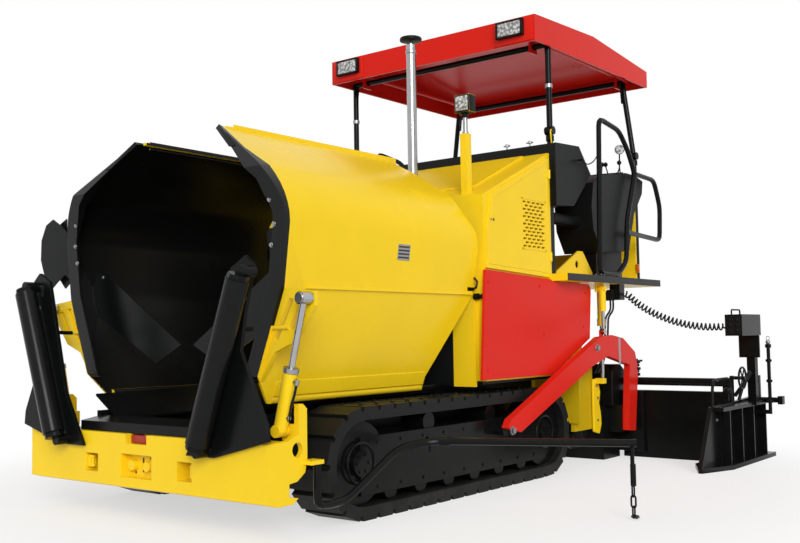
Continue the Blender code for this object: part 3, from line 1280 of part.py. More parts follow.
def roof_lamp(name, side):
    """One work lamp on the roof's front edge."""
    outer = ROOF_HALF - ROOF_LAMP_INSET
    rear = ROOF_FRONT - FIT
    case = block((side * (outer - ROOF_LAMP_WIDTH), rear - ROOF_LAMP_DEPTH, ROOF_LAMP_LOW),
                 (side * outer, rear, ROOF_LAMP_LOW + ROOF_LAMP_HEIGHT))
    return fuse(name, paint("black_plastic"), [case])


def roof_posts(name, place, top_x):
    """A pair of folding posts joined by the tube that turns in the roof's lugs."""
    pieces = [rod((-top_x, place, POST_TOP_Z), (top_x, place, POST_TOP_Z), POST_RADIUS,
                  FINE_SIDES)]
    for side in (1, -1):
        foot = (side * POST_X, place, POST_PIVOT_Z)
        pieces.append(rod(foot, (side * top_x, place, POST_TOP_Z), POST_RADIUS))
        pieces.append(rod((side * (POST_X - POST_BASE_RADIUS), place, POST_PIVOT_Z),
                          (side * (POST_X + POST_BASE_RADIUS), place, POST_PIVOT_Z), POST_BASE_RADIUS))
        low = POST_TOP_Z - POST_GUSSET_DROP
        gusset = ((place - POST_GUSSET, POST_TOP_Z), (place + POST_GUSSET, POST_TOP_Z),
                  (place + POST_RADIUS / 2, low), (place - POST_RADIUS / 2, low))
        inner = side * (top_x - POST_GUSSET_PLATE)
        pieces.append(prism("x", gusset, inner, side * top_x))
    return fuse(name, paint("black_paint"), pieces, origin=(0.0, place, POST_PIVOT_Z))


def tow_arm(name, side):
    """The red arm from the tow point up and over to the screed."""
    outline = scaled(tow_arm_shares, (TOW_FRONT, TOW_LOW), (TOW_LENGTH, TOW_HEIGHT))
    pieces = [prism("x", outline, side * TOW_IN, side * TOW_OUT)]
    lug_high = LIFT_LOW_Z + LIFT_EYE_RADIUS / 2
    pieces.append(block((side * TOW_IN, LIFT_Y - LIFT_EYE_RADIUS, LIFT_LOW_Z - LIFT_EYE_RADIUS * 4),
                        (side * (TOW_IN + LIFT_LUG), LIFT_Y + LIFT_EYE_RADIUS, lug_high)))
    middle = side * (TOW_IN + TOW_OUT) / 2
    rear = TOW_FRONT + TOW_LENGTH
    pieces.append(rod((middle, rear, SPINDLE_STACK_LOW),
                      (middle, rear, SPINDLE_STACK_LOW + SPINDLE_STACK_HEIGHT), SPINDLE_STACK_RADIUS))
    return fuse(name, paint("red_paint"), pieces, origin=(side * TOW_IN, TOW_PIVOT_Y, TOW_PIVOT_Z))


def lift_rams(side, label):
    middle = (TOW_IN + TOW_OUT) / 2
    foot = (side * middle, LIFT_Y, LIFT_TOP_Z)
    head = (side * middle, LIFT_Y, LIFT_LOW_Z)
    across = Vector((1.0, 0.0, 0.0))
    half = (TOW_OUT - TOW_IN) / 2
    sizes = (LIFT_BARREL_RADIUS - FIT, LIFT_BARREL_LENGTH, LIFT_ROD_RADIUS, LIFT_EYE_RADIUS,
             half - FIT)
    ram_barrel("lift_barrel_" + label, foot, head, across, sizes, paint("yellow_paint"))
    narrow = half - LIFT_LUG - FIT
    sizes = (LIFT_BARREL_RADIUS, LIFT_BARREL_LENGTH, LIFT_ROD_RADIUS, LIFT_EYE_RADIUS, narrow)
    ram_rod("lift_rod_" + label, foot, head, across, sizes, paint("chrome"), LIFT_ENGAGED)


def screed_body():
    """The basic screed with the guide tube housings and the arm lugs."""
    pieces = [block((-SCREED_HALF, SCREED_FRONT, 0.0), (SCREED_HALF, SCREED_REAR, SCREED_TOP)),
              block((-SCREED_HALF, SCREED_REAR - OVERRUN * 2, SCREED_TOP - WELD),
                    (SCREED_HALF, SCREED_REAR, GUIDE_Z + HOUSING_RADIUS)),
              rod((-HOUSING_OUT, GUIDE_Y, GUIDE_Z), (HOUSING_OUT, GUIDE_Y, GUIDE_Z), HOUSING_RADIUS),
              block((-SCREED_HALF, SCREED_REAR - WELD, GUIDE_Z - HOUSING_RADIUS / 2),
                    (SCREED_HALF, GUIDE_Y, GUIDE_Z + HOUSING_RADIUS / 2))]
    for side in (1, -1):
        pieces.append(block((side * (SCREED_HALF - WELD), SCREED_REAR - OVERRUN * 4,
                             SCREED_TOP / 2 + FIT),
                            (side * (TOW_IN - FIT), SCREED_REAR - OVERRUN / 2, SCREED_TOP)))
    bore = rod((-HOUSING_OUT - OVERRUN, GUIDE_Y, GUIDE_Z), (HOUSING_OUT + OVERRUN, GUIDE_Y, GUIDE_Z),
               GUIDE_RADIUS + FIT)
    return fuse("screed_body", paint("black_paint"), pieces, [bore])


def screed_extension(name, side):
    """One sliding extension with its guide tube."""
    outline = scaled(extension_shares, (EXTENSION_FRONT, 0.0), (EXTENSION_DEPTH, EXTENSION_HEIGHT))
    pieces = [prism("x", outline, side * EXTENSION_IN, side * EXTENSION_OUT),
              rod((side * GUIDE_IN, GUIDE_Y, GUIDE_Z), (side * EXTENSION_OUT, GUIDE_Y, GUIDE_Z),
                  GUIDE_RADIUS),
              block((side * (EXTENSION_OUT - OVERRUN), GUIDE_Y - GUIDE_RADIUS * 0.8,
                     EXTENSION_HEIGHT * 0.58),
                    (side * EXTENSION_OUT, GUIDE_Y + GUIDE_RADIUS, GUIDE_Z))]
    return fuse(name, paint("black_paint"), pieces)


def end_gate(name, side):
    """The end gate with its shoe, ribs, mast, control box and height crank."""
    inner = EXTENSION_OUT + FIT
    outer = inner + GATE_PLATE
    rear = GATE_FRONT + GATE_LENGTH
    plate = scaled(gate_shares, (GATE_FRONT, 0.0), (GATE_LENGTH, GATE_HEIGHT))
    pieces = [prism("x", plate, side * inner, side * outer)]
    shoe_front = EXTENSION_FRONT - OVERRUN / 2
    shoe_in = inner - GATE_FLANGE * 1.7
    shoe_out = outer + GATE_FLANGE * 1.5
    shoe = ((inner + WELD, GATE_FRONT + WELD), (shoe_in, GATE_FRONT + GATE_LENGTH * 0.22),
            (shoe_in, shoe_front), (inner, shoe_front), (inner, rear - WELD), (shoe_out, rear - WELD),
            (shoe_out, GATE_FRONT + GATE_LENGTH * 0.25), (outer, GATE_FRONT + WELD))
    pieces.append(prism("z", [(side * x, y) for x, y in shoe], 0.0, GATE_SHOE))
    pieces.append(block((side * (outer - WELD), GATE_FRONT + GATE_LENGTH * 0.2, GATE_HEIGHT * 0.87),
                        (side * (outer + GATE_FLANGE), rear - GATE_LENGTH * 0.04, GATE_HEIGHT * 0.93)))
    for share in (0.3, 0.5, 0.7, 0.92):
        place = GATE_FRONT + GATE_LENGTH * share
        pieces.append(block((side * (outer - WELD), place, GATE_SHOE / 2),
                            (side * (outer + GATE_FLANGE), place + GATE_RIB, GATE_HEIGHT * 0.9)))
    pieces.append(block((side * (MAST_X - MAST_HALF), MAST_Y - MAST_HALF, GATE_HEIGHT * 0.88),
                        (side * (MAST_X + MAST_HALF), MAST_Y + MAST_HALF, MAST_TOP)))
    pieces.append(block((side * BOX_IN, BOX_FRONT, BOX_LOW),
                        (side * (BOX_IN + BOX_WIDTH), BOX_FRONT + BOX_LENGTH, BOX_LOW + BOX_HEIGHT)))
    pieces.append(rod((side * CRANK_X, CRANK_Y, CRANK_LOW), (side * CRANK_X, CRANK_Y, CRANK_TOP),
                      CRANK_RADIUS, SMALL_SIDES))
    pieces.append(block((side * (outer - WELD), CRANK_Y - CRANK_RADIUS, CRANK_LOW),
                        (side * CRANK_X, CRANK_Y + CRANK_RADIUS, CRANK_LOW + GATE_SHOE)))
    pieces.append(rod((side * CRANK_X, CRANK_Y, CRANK_TOP - WELD),
                      (side * CRANK_X, CRANK_Y, CRANK_TOP + CRANK_BALL_RADIUS), CRANK_BALL_RADIUS))
    pieces.append(block((side * (outer - WELD), rear - SIDE_LUG * 3, GATE_HEIGHT / 2),
                        (side * (outer + SIDE_LUG), rear - SIDE_LUG * 2, SIDE_LUG_TOP)))
    middle = side * (inner + outer) / 2
    foot = GATE_HEIGHT * 0.9
    handle = [(middle, HANDLE_FRONT, foot), (middle, HANDLE_FRONT + HANDLE_RADIUS * 2, HANDLE_TOP),
              (middle, HANDLE_FRONT + HANDLE_LENGTH - HANDLE_RADIUS * 2, HANDLE_TOP),
              (middle, HANDLE_FRONT + HANDLE_LENGTH, foot)]
    pieces.append(tube(rounded(handle, GATE_PLATE * 2), HANDLE_RADIUS, 8))
    return fuse(name, paint("black_paint"), pieces)


def auger(name, side):
    """One half of the spreading auger: a shaft with a helical flight."""
    turns = (AUGER_OUT - AUGER_IN) / AUGER_PITCH
    steps = round(turns * AUGER_STEPS)
    root = AUGER_SHAFT_RADIUS * 0.6
    form = bmesh.new()
    rings = []
    start = AUGER_IN + AUGER_FLIGHT
    reach = AUGER_OUT - AUGER_IN - AUGER_FLIGHT * 2
    for step in range(steps + 1):
        angle = math.tau * step / AUGER_STEPS
        way = Vector((0.0, math.cos(angle), math.sin(angle) * side))
        along = start + reach * step / steps
        ring = []
        for radius, shift in ((root, -1), (AUGER_RADIUS, -1), (AUGER_RADIUS, 1), (root, 1)):
            spot = Vector((side * (along + shift * AUGER_FLIGHT / 2), AUGER_Y, AUGER_Z)) + way * radius
            ring.append(form.verts.new(spot))
        rings.append(ring)
    for near, far in zip(rings, rings[1:]):
        for index in range(4):
            after = (index + 1) % 4
            form.faces.new((near[index], near[after], far[after], far[index]))
    form.faces.new(rings[0])
    form.faces.new(rings[-1])
    shaft = rod((side * (AUGER_IN + FIT), AUGER_Y, AUGER_Z), (side * AUGER_OUT, AUGER_Y, AUGER_Z),
                AUGER_SHAFT_RADIUS)
    return fuse(name, paint("dark_steel"), [shaft, solid(form)],
                origin=(side * AUGER_IN, AUGER_Y, AUGER_Z))


def guide_bar():
    """The swinging truck guide bar, from its lug past the track to its free end."""
    origin = (BAR_PIVOT_X, BAR_PIVOT_Y, BAR_PIVOT_Z - FIT)
    size = (BAR_END_X - BAR_PIVOT_X, BAR_END_Y - BAR_PIVOT_Y, BAR_END_Z)
    route = scaled(bar_route_shares, origin, size)
    path = rounded(route, BAR_RADIUS * 4, 3)
    near = Vector(route[-2])
    way = (Vector(route[-1]) - near).normalized()
    collar = rod(near + way * BAR_COLLAR, near + way * BAR_COLLAR * 2, BAR_COLLAR_RADIUS, 12)
    return fuse("guide_bar", paint("black_paint"), [tube(path, BAR_RADIUS, 10), collar],
                origin=(BAR_PIVOT_X, BAR_PIVOT_Y, BAR_PIVOT_Z))


def guide_chain():
    """The drop rod and chain at the guide bar's end."""
    end_x = BAR_END_X - BAR_RADIUS
    end_y = BAR_END_Y - BAR_RADIUS / 2
    bar_z = BAR_PIVOT_Z + BAR_END_Z * 0.115
    pieces = [rod((end_x, end_y, CHAIN_ROD_LOW), (end_x, end_y, bar_z - BAR_RADIUS - FIT),
                  CHAIN_ROD_RADIUS, SMALL_SIDES)]
    top = CHAIN_ROD_LOW + CHAIN_WIRE
    for index in range(CHAIN_LINKS):
        sideways = index % 2
        corners = []
        for across, up in ((1, 0), (1, 1), (-1, 1), (-1, 0)):
            shift = across * CHAIN_LINK_HALF
            height = top - CHAIN_LINK * (1 - up)
            corners.append((end_x + shift * sideways, end_y + shift * (1 - sideways), height))
        pieces.append(tube(rounded(corners, CHAIN_LINK_HALF, 2, True), CHAIN_WIRE, 6, True))
        top -= CHAIN_LINK - CHAIN_WIRE * 1.2
    return fuse("guide_chain", paint("dark_steel"), pieces)


def curly_cord():
    """The coiled cord's outer form, hanging from the gland to the control box."""
    start = (GLAND_X + FIT, GLAND_Y, GLAND_Z)
    size = (BOX_IN - GLAND_X - FIT * 2, CORD_END_Y - GLAND_Y, CORD_END_Z - GLAND_Z)
    points = rounded(scaled(cord_shares, start, size), OVERRUN, 3)
    curve = bpy.data.curves.new("curly_cord", "CURVE")
    curve.dimensions = "3D"
    curve.bevel_depth = CORD_RADIUS
    curve.bevel_resolution = 2
    curve.use_fill_caps = True
    spline = curve.splines.new("POLY")
    spline.points.add(len(points) - 1)
    for spot, point in zip(spline.points, points):
        spot.co = (*point, 1.0)
    curve.materials.append(paint("rubber"))
    item = bpy.data.objects.new("curly_cord", curve)
    bpy.context.scene.collection.objects.link(item)
    return item


def build():
    clear_scene()
    make_looks()
    push_beam()
    chassis()
    hopper_box()
    conveyor()
    body_shell()
    engine_block()
    hood_lid()
    exhaust()
    lamp_post()
    platform()
    dashboard()
    console()
    seat_cushion()
    canopy_roof()
    roof_posts("roof_posts_front", POST_FRONT_Y, POST_X)
    roof_posts("roof_posts_rear", POST_REAR_Y, POST_REAR_TOP_X)
    screed_body()
    guide_bar()
    guide_chain()
    curly_cord()
    for side, label in ((1, "left"), (-1, "right")):
        push_arm("push_arm_" + label, side)
        push_roller("push_roller_" + label, side)
        hopper_wing("wing_" + label, side)
        wing_rams(side, label)
        track("track_" + label, side)
        track_frame("track_frame_" + label, side)
        engine_door("engine_door_" + label, side)
        side_panel("side_panel_" + label, side)
        handrail("handrail_" + label, side)
        tow_arm("tow_arm_" + label, side)
        lift_rams(side, label)
        screed_extension("screed_extension_" + label, side)
        end_gate("end_gate_" + label, side)
        roof_lamp("roof_lamp_" + label, side)
        auger("auger_" + label, side)


build()
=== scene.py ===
"""Looks for a compact tracked asphalt paver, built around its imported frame.

Metres, +Z up, +X to the machine's left, +Y to its rear."""

import math

import bmesh
import bpy
from mathutils import Matrix, Vector
from mathutils.bvhtree import BVHTree


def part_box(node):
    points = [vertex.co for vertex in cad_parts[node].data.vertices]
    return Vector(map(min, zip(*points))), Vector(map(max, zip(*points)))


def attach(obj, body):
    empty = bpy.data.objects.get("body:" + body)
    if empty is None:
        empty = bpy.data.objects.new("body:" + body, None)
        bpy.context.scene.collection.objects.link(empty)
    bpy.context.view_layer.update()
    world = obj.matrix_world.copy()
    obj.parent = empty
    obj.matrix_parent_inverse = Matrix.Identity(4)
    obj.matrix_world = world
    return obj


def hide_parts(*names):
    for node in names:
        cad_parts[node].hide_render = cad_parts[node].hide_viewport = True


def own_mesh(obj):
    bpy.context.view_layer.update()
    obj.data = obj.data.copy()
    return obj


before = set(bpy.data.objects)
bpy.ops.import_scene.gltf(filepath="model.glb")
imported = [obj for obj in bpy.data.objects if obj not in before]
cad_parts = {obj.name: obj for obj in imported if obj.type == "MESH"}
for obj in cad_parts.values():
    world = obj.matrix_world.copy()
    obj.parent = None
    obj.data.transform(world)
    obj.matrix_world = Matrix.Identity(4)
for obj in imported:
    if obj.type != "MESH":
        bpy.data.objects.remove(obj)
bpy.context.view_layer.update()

bl_info = {
    "name": "Asphalt paver finishes",
    "version": (1, 0, 0),
    "blender": (4, 5, 0),
    "location": "3D View > Sidebar > Paver",
    "description": "Dresses the frame of a tracked asphalt paver",
    "category": "Object",
}

SIDES = ((1, "left"), (-1, "right"))

CAMERA_SPOT = (4.2351, -3.1958, 0.95)
CAMERA_RIGHT = (0.787255, 0.61643, -0.01558)
CAMERA_UP = (0.051003, -0.039915, 0.997901)
CAMERA_LENS = 44.568

# The coiled cord: its gland, its reach to the control box, its turns and their outer radius
CORD_START = (1.0303, 3.56, 1.215)
CORD_REACH = (0.7094, 0.16, -0.25)
CORD_TURNS = 27
TURN_POINTS = 14
TURN_RADIUS = 0.028
# The cord's bow as shares of its reach
CORD_SHARES = ((0, 0, 0), (0.056, 0, 0), (0.169, 0.125, 0.32), (0.31, 0.28, 0.58), (0.479, 0.5, 0.8),
               (0.648, 0.69, 0.94), (0.803, 0.875, 1.0), (0.944, 1.0, 1.0), (1, 1, 1))

# Where the solids stand that the fittings sit on, as on the left side
STACK_AXIS = (0.35, 1.93)
TRACK_AXLES = (0.72, 2.60)
AXLE_HEIGHT = 0.29
PAD_REACH = 0.286
DOOR_FACE = 0.9483
POST_ACROSS = 0.88
POST_PLACES = (2.81, 4.16)
RAM_PLACE = 0.17
RAM_FOOT = (0.87, 0.50)
RAM_HEAD = (1.035, 1.125)
LIFT_ACROSS = 0.925
LIFT_PLACE = 3.42
GATE_FACE = 1.7303
ROLLER_HIGH = (0.872, -0.095, 1.215)
ROLLER_LOW = (0.585, -0.095, 0.44)
GUIDE_PIVOT = (1.093, 1.06)
# Dials on the dashboard: places across, and the way its rear slope faces
DIAL_PLACES = (-0.24, -0.08, 0.08, 0.24)
DASH_FACING = (0, 0.731, 0.682)
MIRROR_FACING = (0.35, -1, 0.1)

# Bounds between a wing's black inside and its yellow skin
INNER_FACING = -0.2
RIM_PLACE = 0.2145
RIM_LEAN = 0.45
LEAN_HEIGHT = 1.9
FLAP_SPAN = (0.333, 0.345)
SKIN_SLOPE = 0.396
SKIN_FOOT = 0.3995
BRACKET_TOP = 1.21

# Colours under the paints: dust by finish, and bare steel in scuffs
PAINT_DUST = (0.2, 0.17, 0.13, 1.0)
METAL_DUST = (0.17, 0.14, 0.11, 1.0)
GRAIN_DUST = (0.16, 0.14, 0.115, 1.0)
SCUFF_COLOUR = (0.09, 0.09, 0.088, 1.0)


class PaintColours(bpy.types.PropertyGroup):
    """Paints of the machine."""

    yellow: bpy.props.FloatVectorProperty(
        name="Yellow", description="Body paint", subtype="COLOR", size=3, default=(0.91, 0.62, 0.011))
    red: bpy.props.FloatVectorProperty(
        name="Red", description="Roof, panels and tow arms", subtype="COLOR", size=3,
        default=(0.68, 0.016, 0.008))
    black: bpy.props.FloatVectorProperty(
        name="Black", description="Frames and hopper", subtype="COLOR", size=3,
        default=(0.004, 0.0046, 0.0044))
    steel: bpy.props.FloatVectorProperty(
        name="Steel", description="Bare and zinc plated steel", subtype="COLOR", size=3,
        default=(0.32, 0.32, 0.33))


class FittingSizes(bpy.types.PropertyGroup):
    """Sizes of the fittings."""

    bolt: bpy.props.FloatProperty(
        name="Bolt", description="Radius of a bolt head", subtype="DISTANCE", unit="LENGTH",
        default=0.011, min=0.004, max=0.03)
    rib: bpy.props.FloatProperty(
        name="Rib", description="Width of a moulded rib", subtype="DISTANCE", unit="LENGTH",
        default=0.016, min=0.005, max=0.05)
    cord: bpy.props.FloatProperty(
        name="Cord", description="Thickness of the coiled cord", subtype="DISTANCE", unit="LENGTH",
        default=0.012, min=0.004, max=0.02)


# Solid forms


def placed(axis, across, first, second):
    """A point from its place across an axis and its two other places."""
    if axis == "x":
        return Vector((across, first, second))
    if axis == "y":
        return Vector((first, across, second))
    return Vector((first, second, across))


def rounded(points, radius, steps=4, closed=False):
    """A path with its corners turned into short arcs."""
    path = [Vector(point) for point in points]
    result = []
    for index, corner in enumerate(path):
        if not closed and index in (0, len(path) - 1):
            result.append(corner)
            continue
        before = path[index - 1]
        after = path[(index + 1) % len(path)]
        reach = min(radius, (before - corner).length * 0.45, (after - corner).length * 0.45)
        start = corner + (before - corner).normalized() * reach
        end = corner + (after - corner).normalized() * reach
        for step in range(steps + 1):
            share = step / steps
            result.append(start.lerp(corner, share).lerp(corner.lerp(end, share), share))
    return result


def ring(centre, first, second, radius, count):
    """Points on a circle that two crossing directions span."""
    centre, first, second = Vector(centre), Vector(first), Vector(second)
    return [centre + (first * math.cos(math.tau * k / count)
                      + second * math.sin(math.tau * k / count)) * radius for k in range(count)]


def side_ring(centre, radius, count):
    """Points on a circle that faces along X."""
    return ring(centre, (0, 1, 0), (0, 0, 1), radius, count)


def collar(radius, length, step, cut):
    """A lathe's profile for a ring with both edges cut off."""
    return ((0.0, radius - cut), (step, radius), (length - step, radius), (length, radius - cut))


def rim_strips(low, high, upright, level):
    """Four strips round a rectangle, as corner pairs, from their two widths."""
    return ((low, (high[0], low[1] + level)), ((low[0], high[1] - level), high),
            (low, (low[0] + upright, high[1])), ((high[0] - upright, low[1]), high))


def add_object(name, mesh):
    """A new object of the scene that holds a mesh, light or camera."""
    item = bpy.data.objects.new(name, mesh)
    bpy.context.scene.collection.objects.link(item)
    return item


def mirrored(side, point):
    """A point or direction of the left side, or its mirror image on the right side."""
    return Vector((side * point[0], point[1], point[2]))


class Form:
    """Closed shells gathered into one mesh. With side -1, what is given is mirrored across X."""

    def __init__(self, side=1):
        self.mesh = bmesh.new()
        self.side = side

    def loft(self, rings, closed=False):
        """Joins rings of points into one closed shell."""
        made = [[self.mesh.verts.new(point) for point in points] for points in rings]
        count = len(made)
        sides = len(made[0])
        for index in range(count if closed else count - 1):
            near, far = made[index], made[(index + 1) % count]
            for step in range(sides):
                after = (step + 1) % sides
                self.mesh.faces.new((near[step], near[after], far[after], far[step]))
        if not closed:
            self.mesh.faces.new(made[0])
            self.mesh.faces.new(made[-1])
        return self

    def prism(self, axis, outline, low, high):
        """Pushes a flat outline along an axis, from one place to another."""
        return self.loft([[mirrored(self.side, placed(axis, across, *point)) for point in outline]
                          for across in (low, high)])

    def block(self, low, high):
        """A box between two corners."""
        corners = ((low[0], low[1]), (high[0], low[1]), (high[0], high[1]), (low[0], high[1]))
        return self.prism("z", corners, low[2], high[2])

    def lathe(self, base, way, profile, sides=20):
        """Turns a profile of (distance along, radius) pairs about an axis."""
        base, way = mirrored(self.side, base), mirrored(self.side, way).normalized()
        first = way.orthogonal().normalized()
        second = way.cross(first)
        return self.loft([ring(base + way * place, first, second, radius, sides)
                          for place, radius in profile])

    def rod(self, start, end, radius, sides=16):
        """A straight round bar."""
        span = Vector(end) - Vector(start)
        return self.lathe(start, span, ((0.0, radius), (span.length, radius)), sides)

    def tube(self, points, radius, sides=10, closed=False):
        """A round bar along a path, turned as little as can be."""
        points = [mirrored(self.side, point) for point in points]
        count = len(points)
        rings = []
        side = None
        for index, point in enumerate(points):
            if closed:
                way = (points[(index + 1) % count] - points[index - 1]).normalized()
            else:
                way = (points[min(index + 1, count - 1)] - points[max(index - 1, 0)]).normalized()
            if side is None:
                side = way.orthogonal().normalized()
            side = (side - way * side.dot(way)).normalized()
            rings.append(ring(point, side, way.cross(side), radius, sides))
        return self.loft(rings, closed)

    def piece(self, name, finish, body, bevel=0.0, segments=2):
        """Finishes the shells as one piece that rides on a body."""
        bmesh.ops.recalc_face_normals(self.mesh, faces=self.mesh.faces)
        mesh = bpy.data.meshes.new(name)
        self.mesh.to_mesh(mesh)
        self.mesh.free()
        item = add_object(name, mesh)
        if bevel:
            modifier = item.modifiers.new("edges", "BEVEL")
            modifier.width = bevel
            modifier.segments = segments
            modifier.limit_method = "ANGLE"
            modifier.angle_limit = math.radians(35)
            settle(item)
        return settled(item, finish, body)


def settle(item):
    """Replaces a piece's modifiers with the mesh they make."""
    bpy.context.view_layer.update()
    made = bpy.data.meshes.new_from_object(item.evaluated_get(bpy.context.evaluated_depsgraph_get()))
    item.modifiers.clear()
    item.data = made
    made.name = item.name


def settled(item, finish, body):
    """Gives a piece its finish, its shading and the body it rides on."""
    item.data.materials.clear()
    item.data.materials.append(bpy.data.materials[finish])
    item.data.shade_smooth()
    item.data.set_sharp_from_angle(angle=math.radians(32))
    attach(item, body)
    return item


def touch(node, start, way, side=1):
    """Where a ray first meets a node of the frame, both as on the left side."""
    if node not in SEARCH_TREES:
        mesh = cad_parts[node].data
        SEARCH_TREES[node] = BVHTree.FromPolygons([vert.co for vert in mesh.vertices],
                                                  [face.vertices for face in mesh.polygons])
    spot = SEARCH_TREES[node].ray_cast(mirrored(side, start), mirrored(side, way))[0]
    if spot is None:
        raise RuntimeError("nothing of " + node + " lies that way")
    return mirrored(side, spot)


# Surface finishes


def new_group(name, kind, inputs, outputs):
    """An empty node group with named sockets."""
    tree = bpy.data.node_groups.new(name, kind)
    for label, held, value in inputs:
        socket = tree.interface.new_socket(name=label, in_out="INPUT", socket_type="NodeSocket" + held)
        if value is not None:
            socket.default_value = value
    for label, held in outputs:
        tree.interface.new_socket(name=label, in_out="OUTPUT", socket_type="NodeSocket" + held)
    return tree, tree.nodes.new("NodeGroupInput"), tree.nodes.new("NodeGroupOutput")


def fill(tree, socket, value):
    """Links a socket to another, or sets its plain value."""
    if isinstance(value, bpy.types.NodeSocket):
        tree.links.new(value, socket)
    else:
        socket.default_value = value


def add(tree, kind, sockets=None, **settings):
    """A node with its settings and the values or links of its sockets."""
    node = tree.nodes.new(kind)
    for key, value in settings.items():
        setattr(node, key, value)
    for key, value in (sockets or {}).items():
        fill(tree, node.inputs[key], value)
    return node


def maths(tree, operation, first, second=0.0, clamp=False):
    """The outcome of one sum of two values."""
    return add(tree, "ShaderNodeMath", {0: first, 1: second}, operation=operation,
               use_clamp=clamp).outputs[0]


def tone_group():
    """Slow changes of shade and a fine skin over a paint."""
    tree, given, out = new_group(
        "paint_tone", "ShaderNodeTree",
        (("Colour", "Color", (1, 1, 1, 1)), ("Change", "Float", 0.1), ("Patch", "Float", 3.0),
         ("Skin", "Float", 300.0)),
        (("Colour", "Color"), ("Patches", "Float"), ("Height", "Float")))
    place = add(tree, "ShaderNodeTexCoord").outputs["Object"]
    patches = add(tree, "ShaderNodeTexNoise", {"Vector": place, "Scale": given.outputs["Patch"],
                                               "Detail": 4.0, "Roughness": 0.55}).outputs["Fac"]
    skin = add(tree, "ShaderNodeTexNoise", {"Vector": place, "Scale": given.outputs["Skin"],
                                            "Detail": 2.0}).outputs["Fac"]
    swing = maths(tree, "SUBTRACT", patches, 0.5)
    level = maths(tree, "ADD", maths(tree, "MULTIPLY", swing, given.outputs["Change"]), 1.0)
    shade = add(tree, "ShaderNodeVectorMath", {0: given.outputs["Colour"]}, operation="SCALE")
    tree.links.new(level, shade.inputs["Scale"])
    tree.links.new(shade.outputs[0], out.inputs["Colour"])
    tree.links.new(patches, out.inputs["Patches"])
    tree.links.new(skin, out.inputs["Height"])
    return tree


def dust_group():
    """Where dust settles: low down, on top faces, and in patches."""
    tree, given, out = new_group(
        "road_dust", "ShaderNodeTree",
        (("Amount", "Float", 0.3), ("Level", "Float", 0.6), ("Patch", "Float", 9.0)), (("Mask", "Float"),))
    place = add(tree, "ShaderNodeTexCoord")
    height = add(tree, "ShaderNodeSeparateXYZ", {0: place.outputs["Object"]}).outputs["Z"]
    upward = add(tree, "ShaderNodeSeparateXYZ", {0: place.outputs["Normal"]}).outputs["Z"]
    low = maths(tree, "SUBTRACT", 1.0, maths(tree, "DIVIDE", height, given.outputs["Level"]), True)
    flat = maths(tree, "MULTIPLY", maths(tree, "MAXIMUM", upward, 0.0), 0.35)
    patches = add(tree, "ShaderNodeTexNoise", {"Vector": place.outputs["Object"], "Detail": 6.0,
                                               "Scale": given.outputs["Patch"],
                                               "Roughness": 0.65}).outputs["Fac"]
    rough = add(tree, "ShaderNodeMapRange", {"Value": patches, "From Min": 0.35, "From Max": 0.75},
                interpolation_type="SMOOTHSTEP").outputs[0]
    mask = maths(tree, "MULTIPLY", maths(tree, "ADD", low, flat), rough)
    mask = maths(tree, "MULTIPLY", mask, given.outputs["Amount"], True)
    tree.links.new(mask, out.inputs["Mask"])
    return tree


def scuff_group():
    """Fine scratches that lie along one way, where asphalt slides."""
    tree, given, out = new_group(
        "slide_scuffs", "ShaderNodeTree",
        (("Stretch", "Vector", (4.0, 60.0, 60.0)), ("Amount", "Float", 0.3)), (("Mask", "Float"),))
    place = add(tree, "ShaderNodeTexCoord").outputs["Object"]
    stretched = add(tree, "ShaderNodeVectorMath", {0: place, 1: given.outputs["Stretch"]},
                    operation="MULTIPLY").outputs[0]
    lines = add(tree, "ShaderNodeTexNoise", {"Vector": stretched, "Scale": 1.0, "Detail": 3.0,
                                             "Roughness": 0.7}).outputs["Fac"]
    thin = add(tree, "ShaderNodeMapRange", {"Value": lines, "From Min": 0.58, "From Max": 0.72},
               interpolation_type="SMOOTHSTEP").outputs[0]
    tree.links.new(maths(tree, "MULTIPLY", thin, given.outputs["Amount"], True), out.inputs["Mask"])
    return tree


def new_finish(name, colour, roughness, metallic=0.0, coat=0.0, specular=0.5):
    """A material with plain values on its shader's own sockets."""
    material = bpy.data.materials.new(name)
    material.use_nodes = True
    material.diffuse_color = (*colour, 1.0)
    shader = material.node_tree.nodes["Principled BSDF"]
    for label, value in (("Base Color", (*colour, 1.0)), ("Roughness", roughness), ("Metallic", metallic),
                         ("Coat Weight", coat), ("Coat Roughness", 0.08), ("Specular IOR Level", specular)):
        shader.inputs[label].default_value = value
    return material.node_tree, shader


def use_group(tree, group, **values):
    """One use of a node group, with its values or links."""
    node = tree.nodes.new("ShaderNodeGroup")
    node.node_tree = group
    for key, value in values.items():
        fill(tree, node.inputs[key], value)
    return node


def mixed(tree, factor, first, second):
    """One colour over another by a mask."""
    node = add(tree, "ShaderNodeMix", data_type="RGBA")
    for index, value in ((0, factor), (6, first), (7, second)):
        fill(tree, node.inputs[index], value)
    return node.outputs[2]


def soft_edges(tree, shader, height, strength, radius=0.003):
    """Rounds the look of sharp edges and adds a fine skin."""
    edge = add(tree, "ShaderNodeBevel", {"Radius": radius}, samples=4)
    bump = add(tree, "ShaderNodeBump", {"Height": height, "Strength": strength,
                                        "Distance": 0.001, "Normal": edge.outputs[0]})
    tree.links.new(bump.outputs[0], shader.inputs["Normal"])


def shade(tree, shader, colour, gloss):
    """Links a colour and a roughness to a shader."""
    tree.links.new(colour, shader.inputs["Base Color"])
    tree.links.new(gloss, shader.inputs["Roughness"])


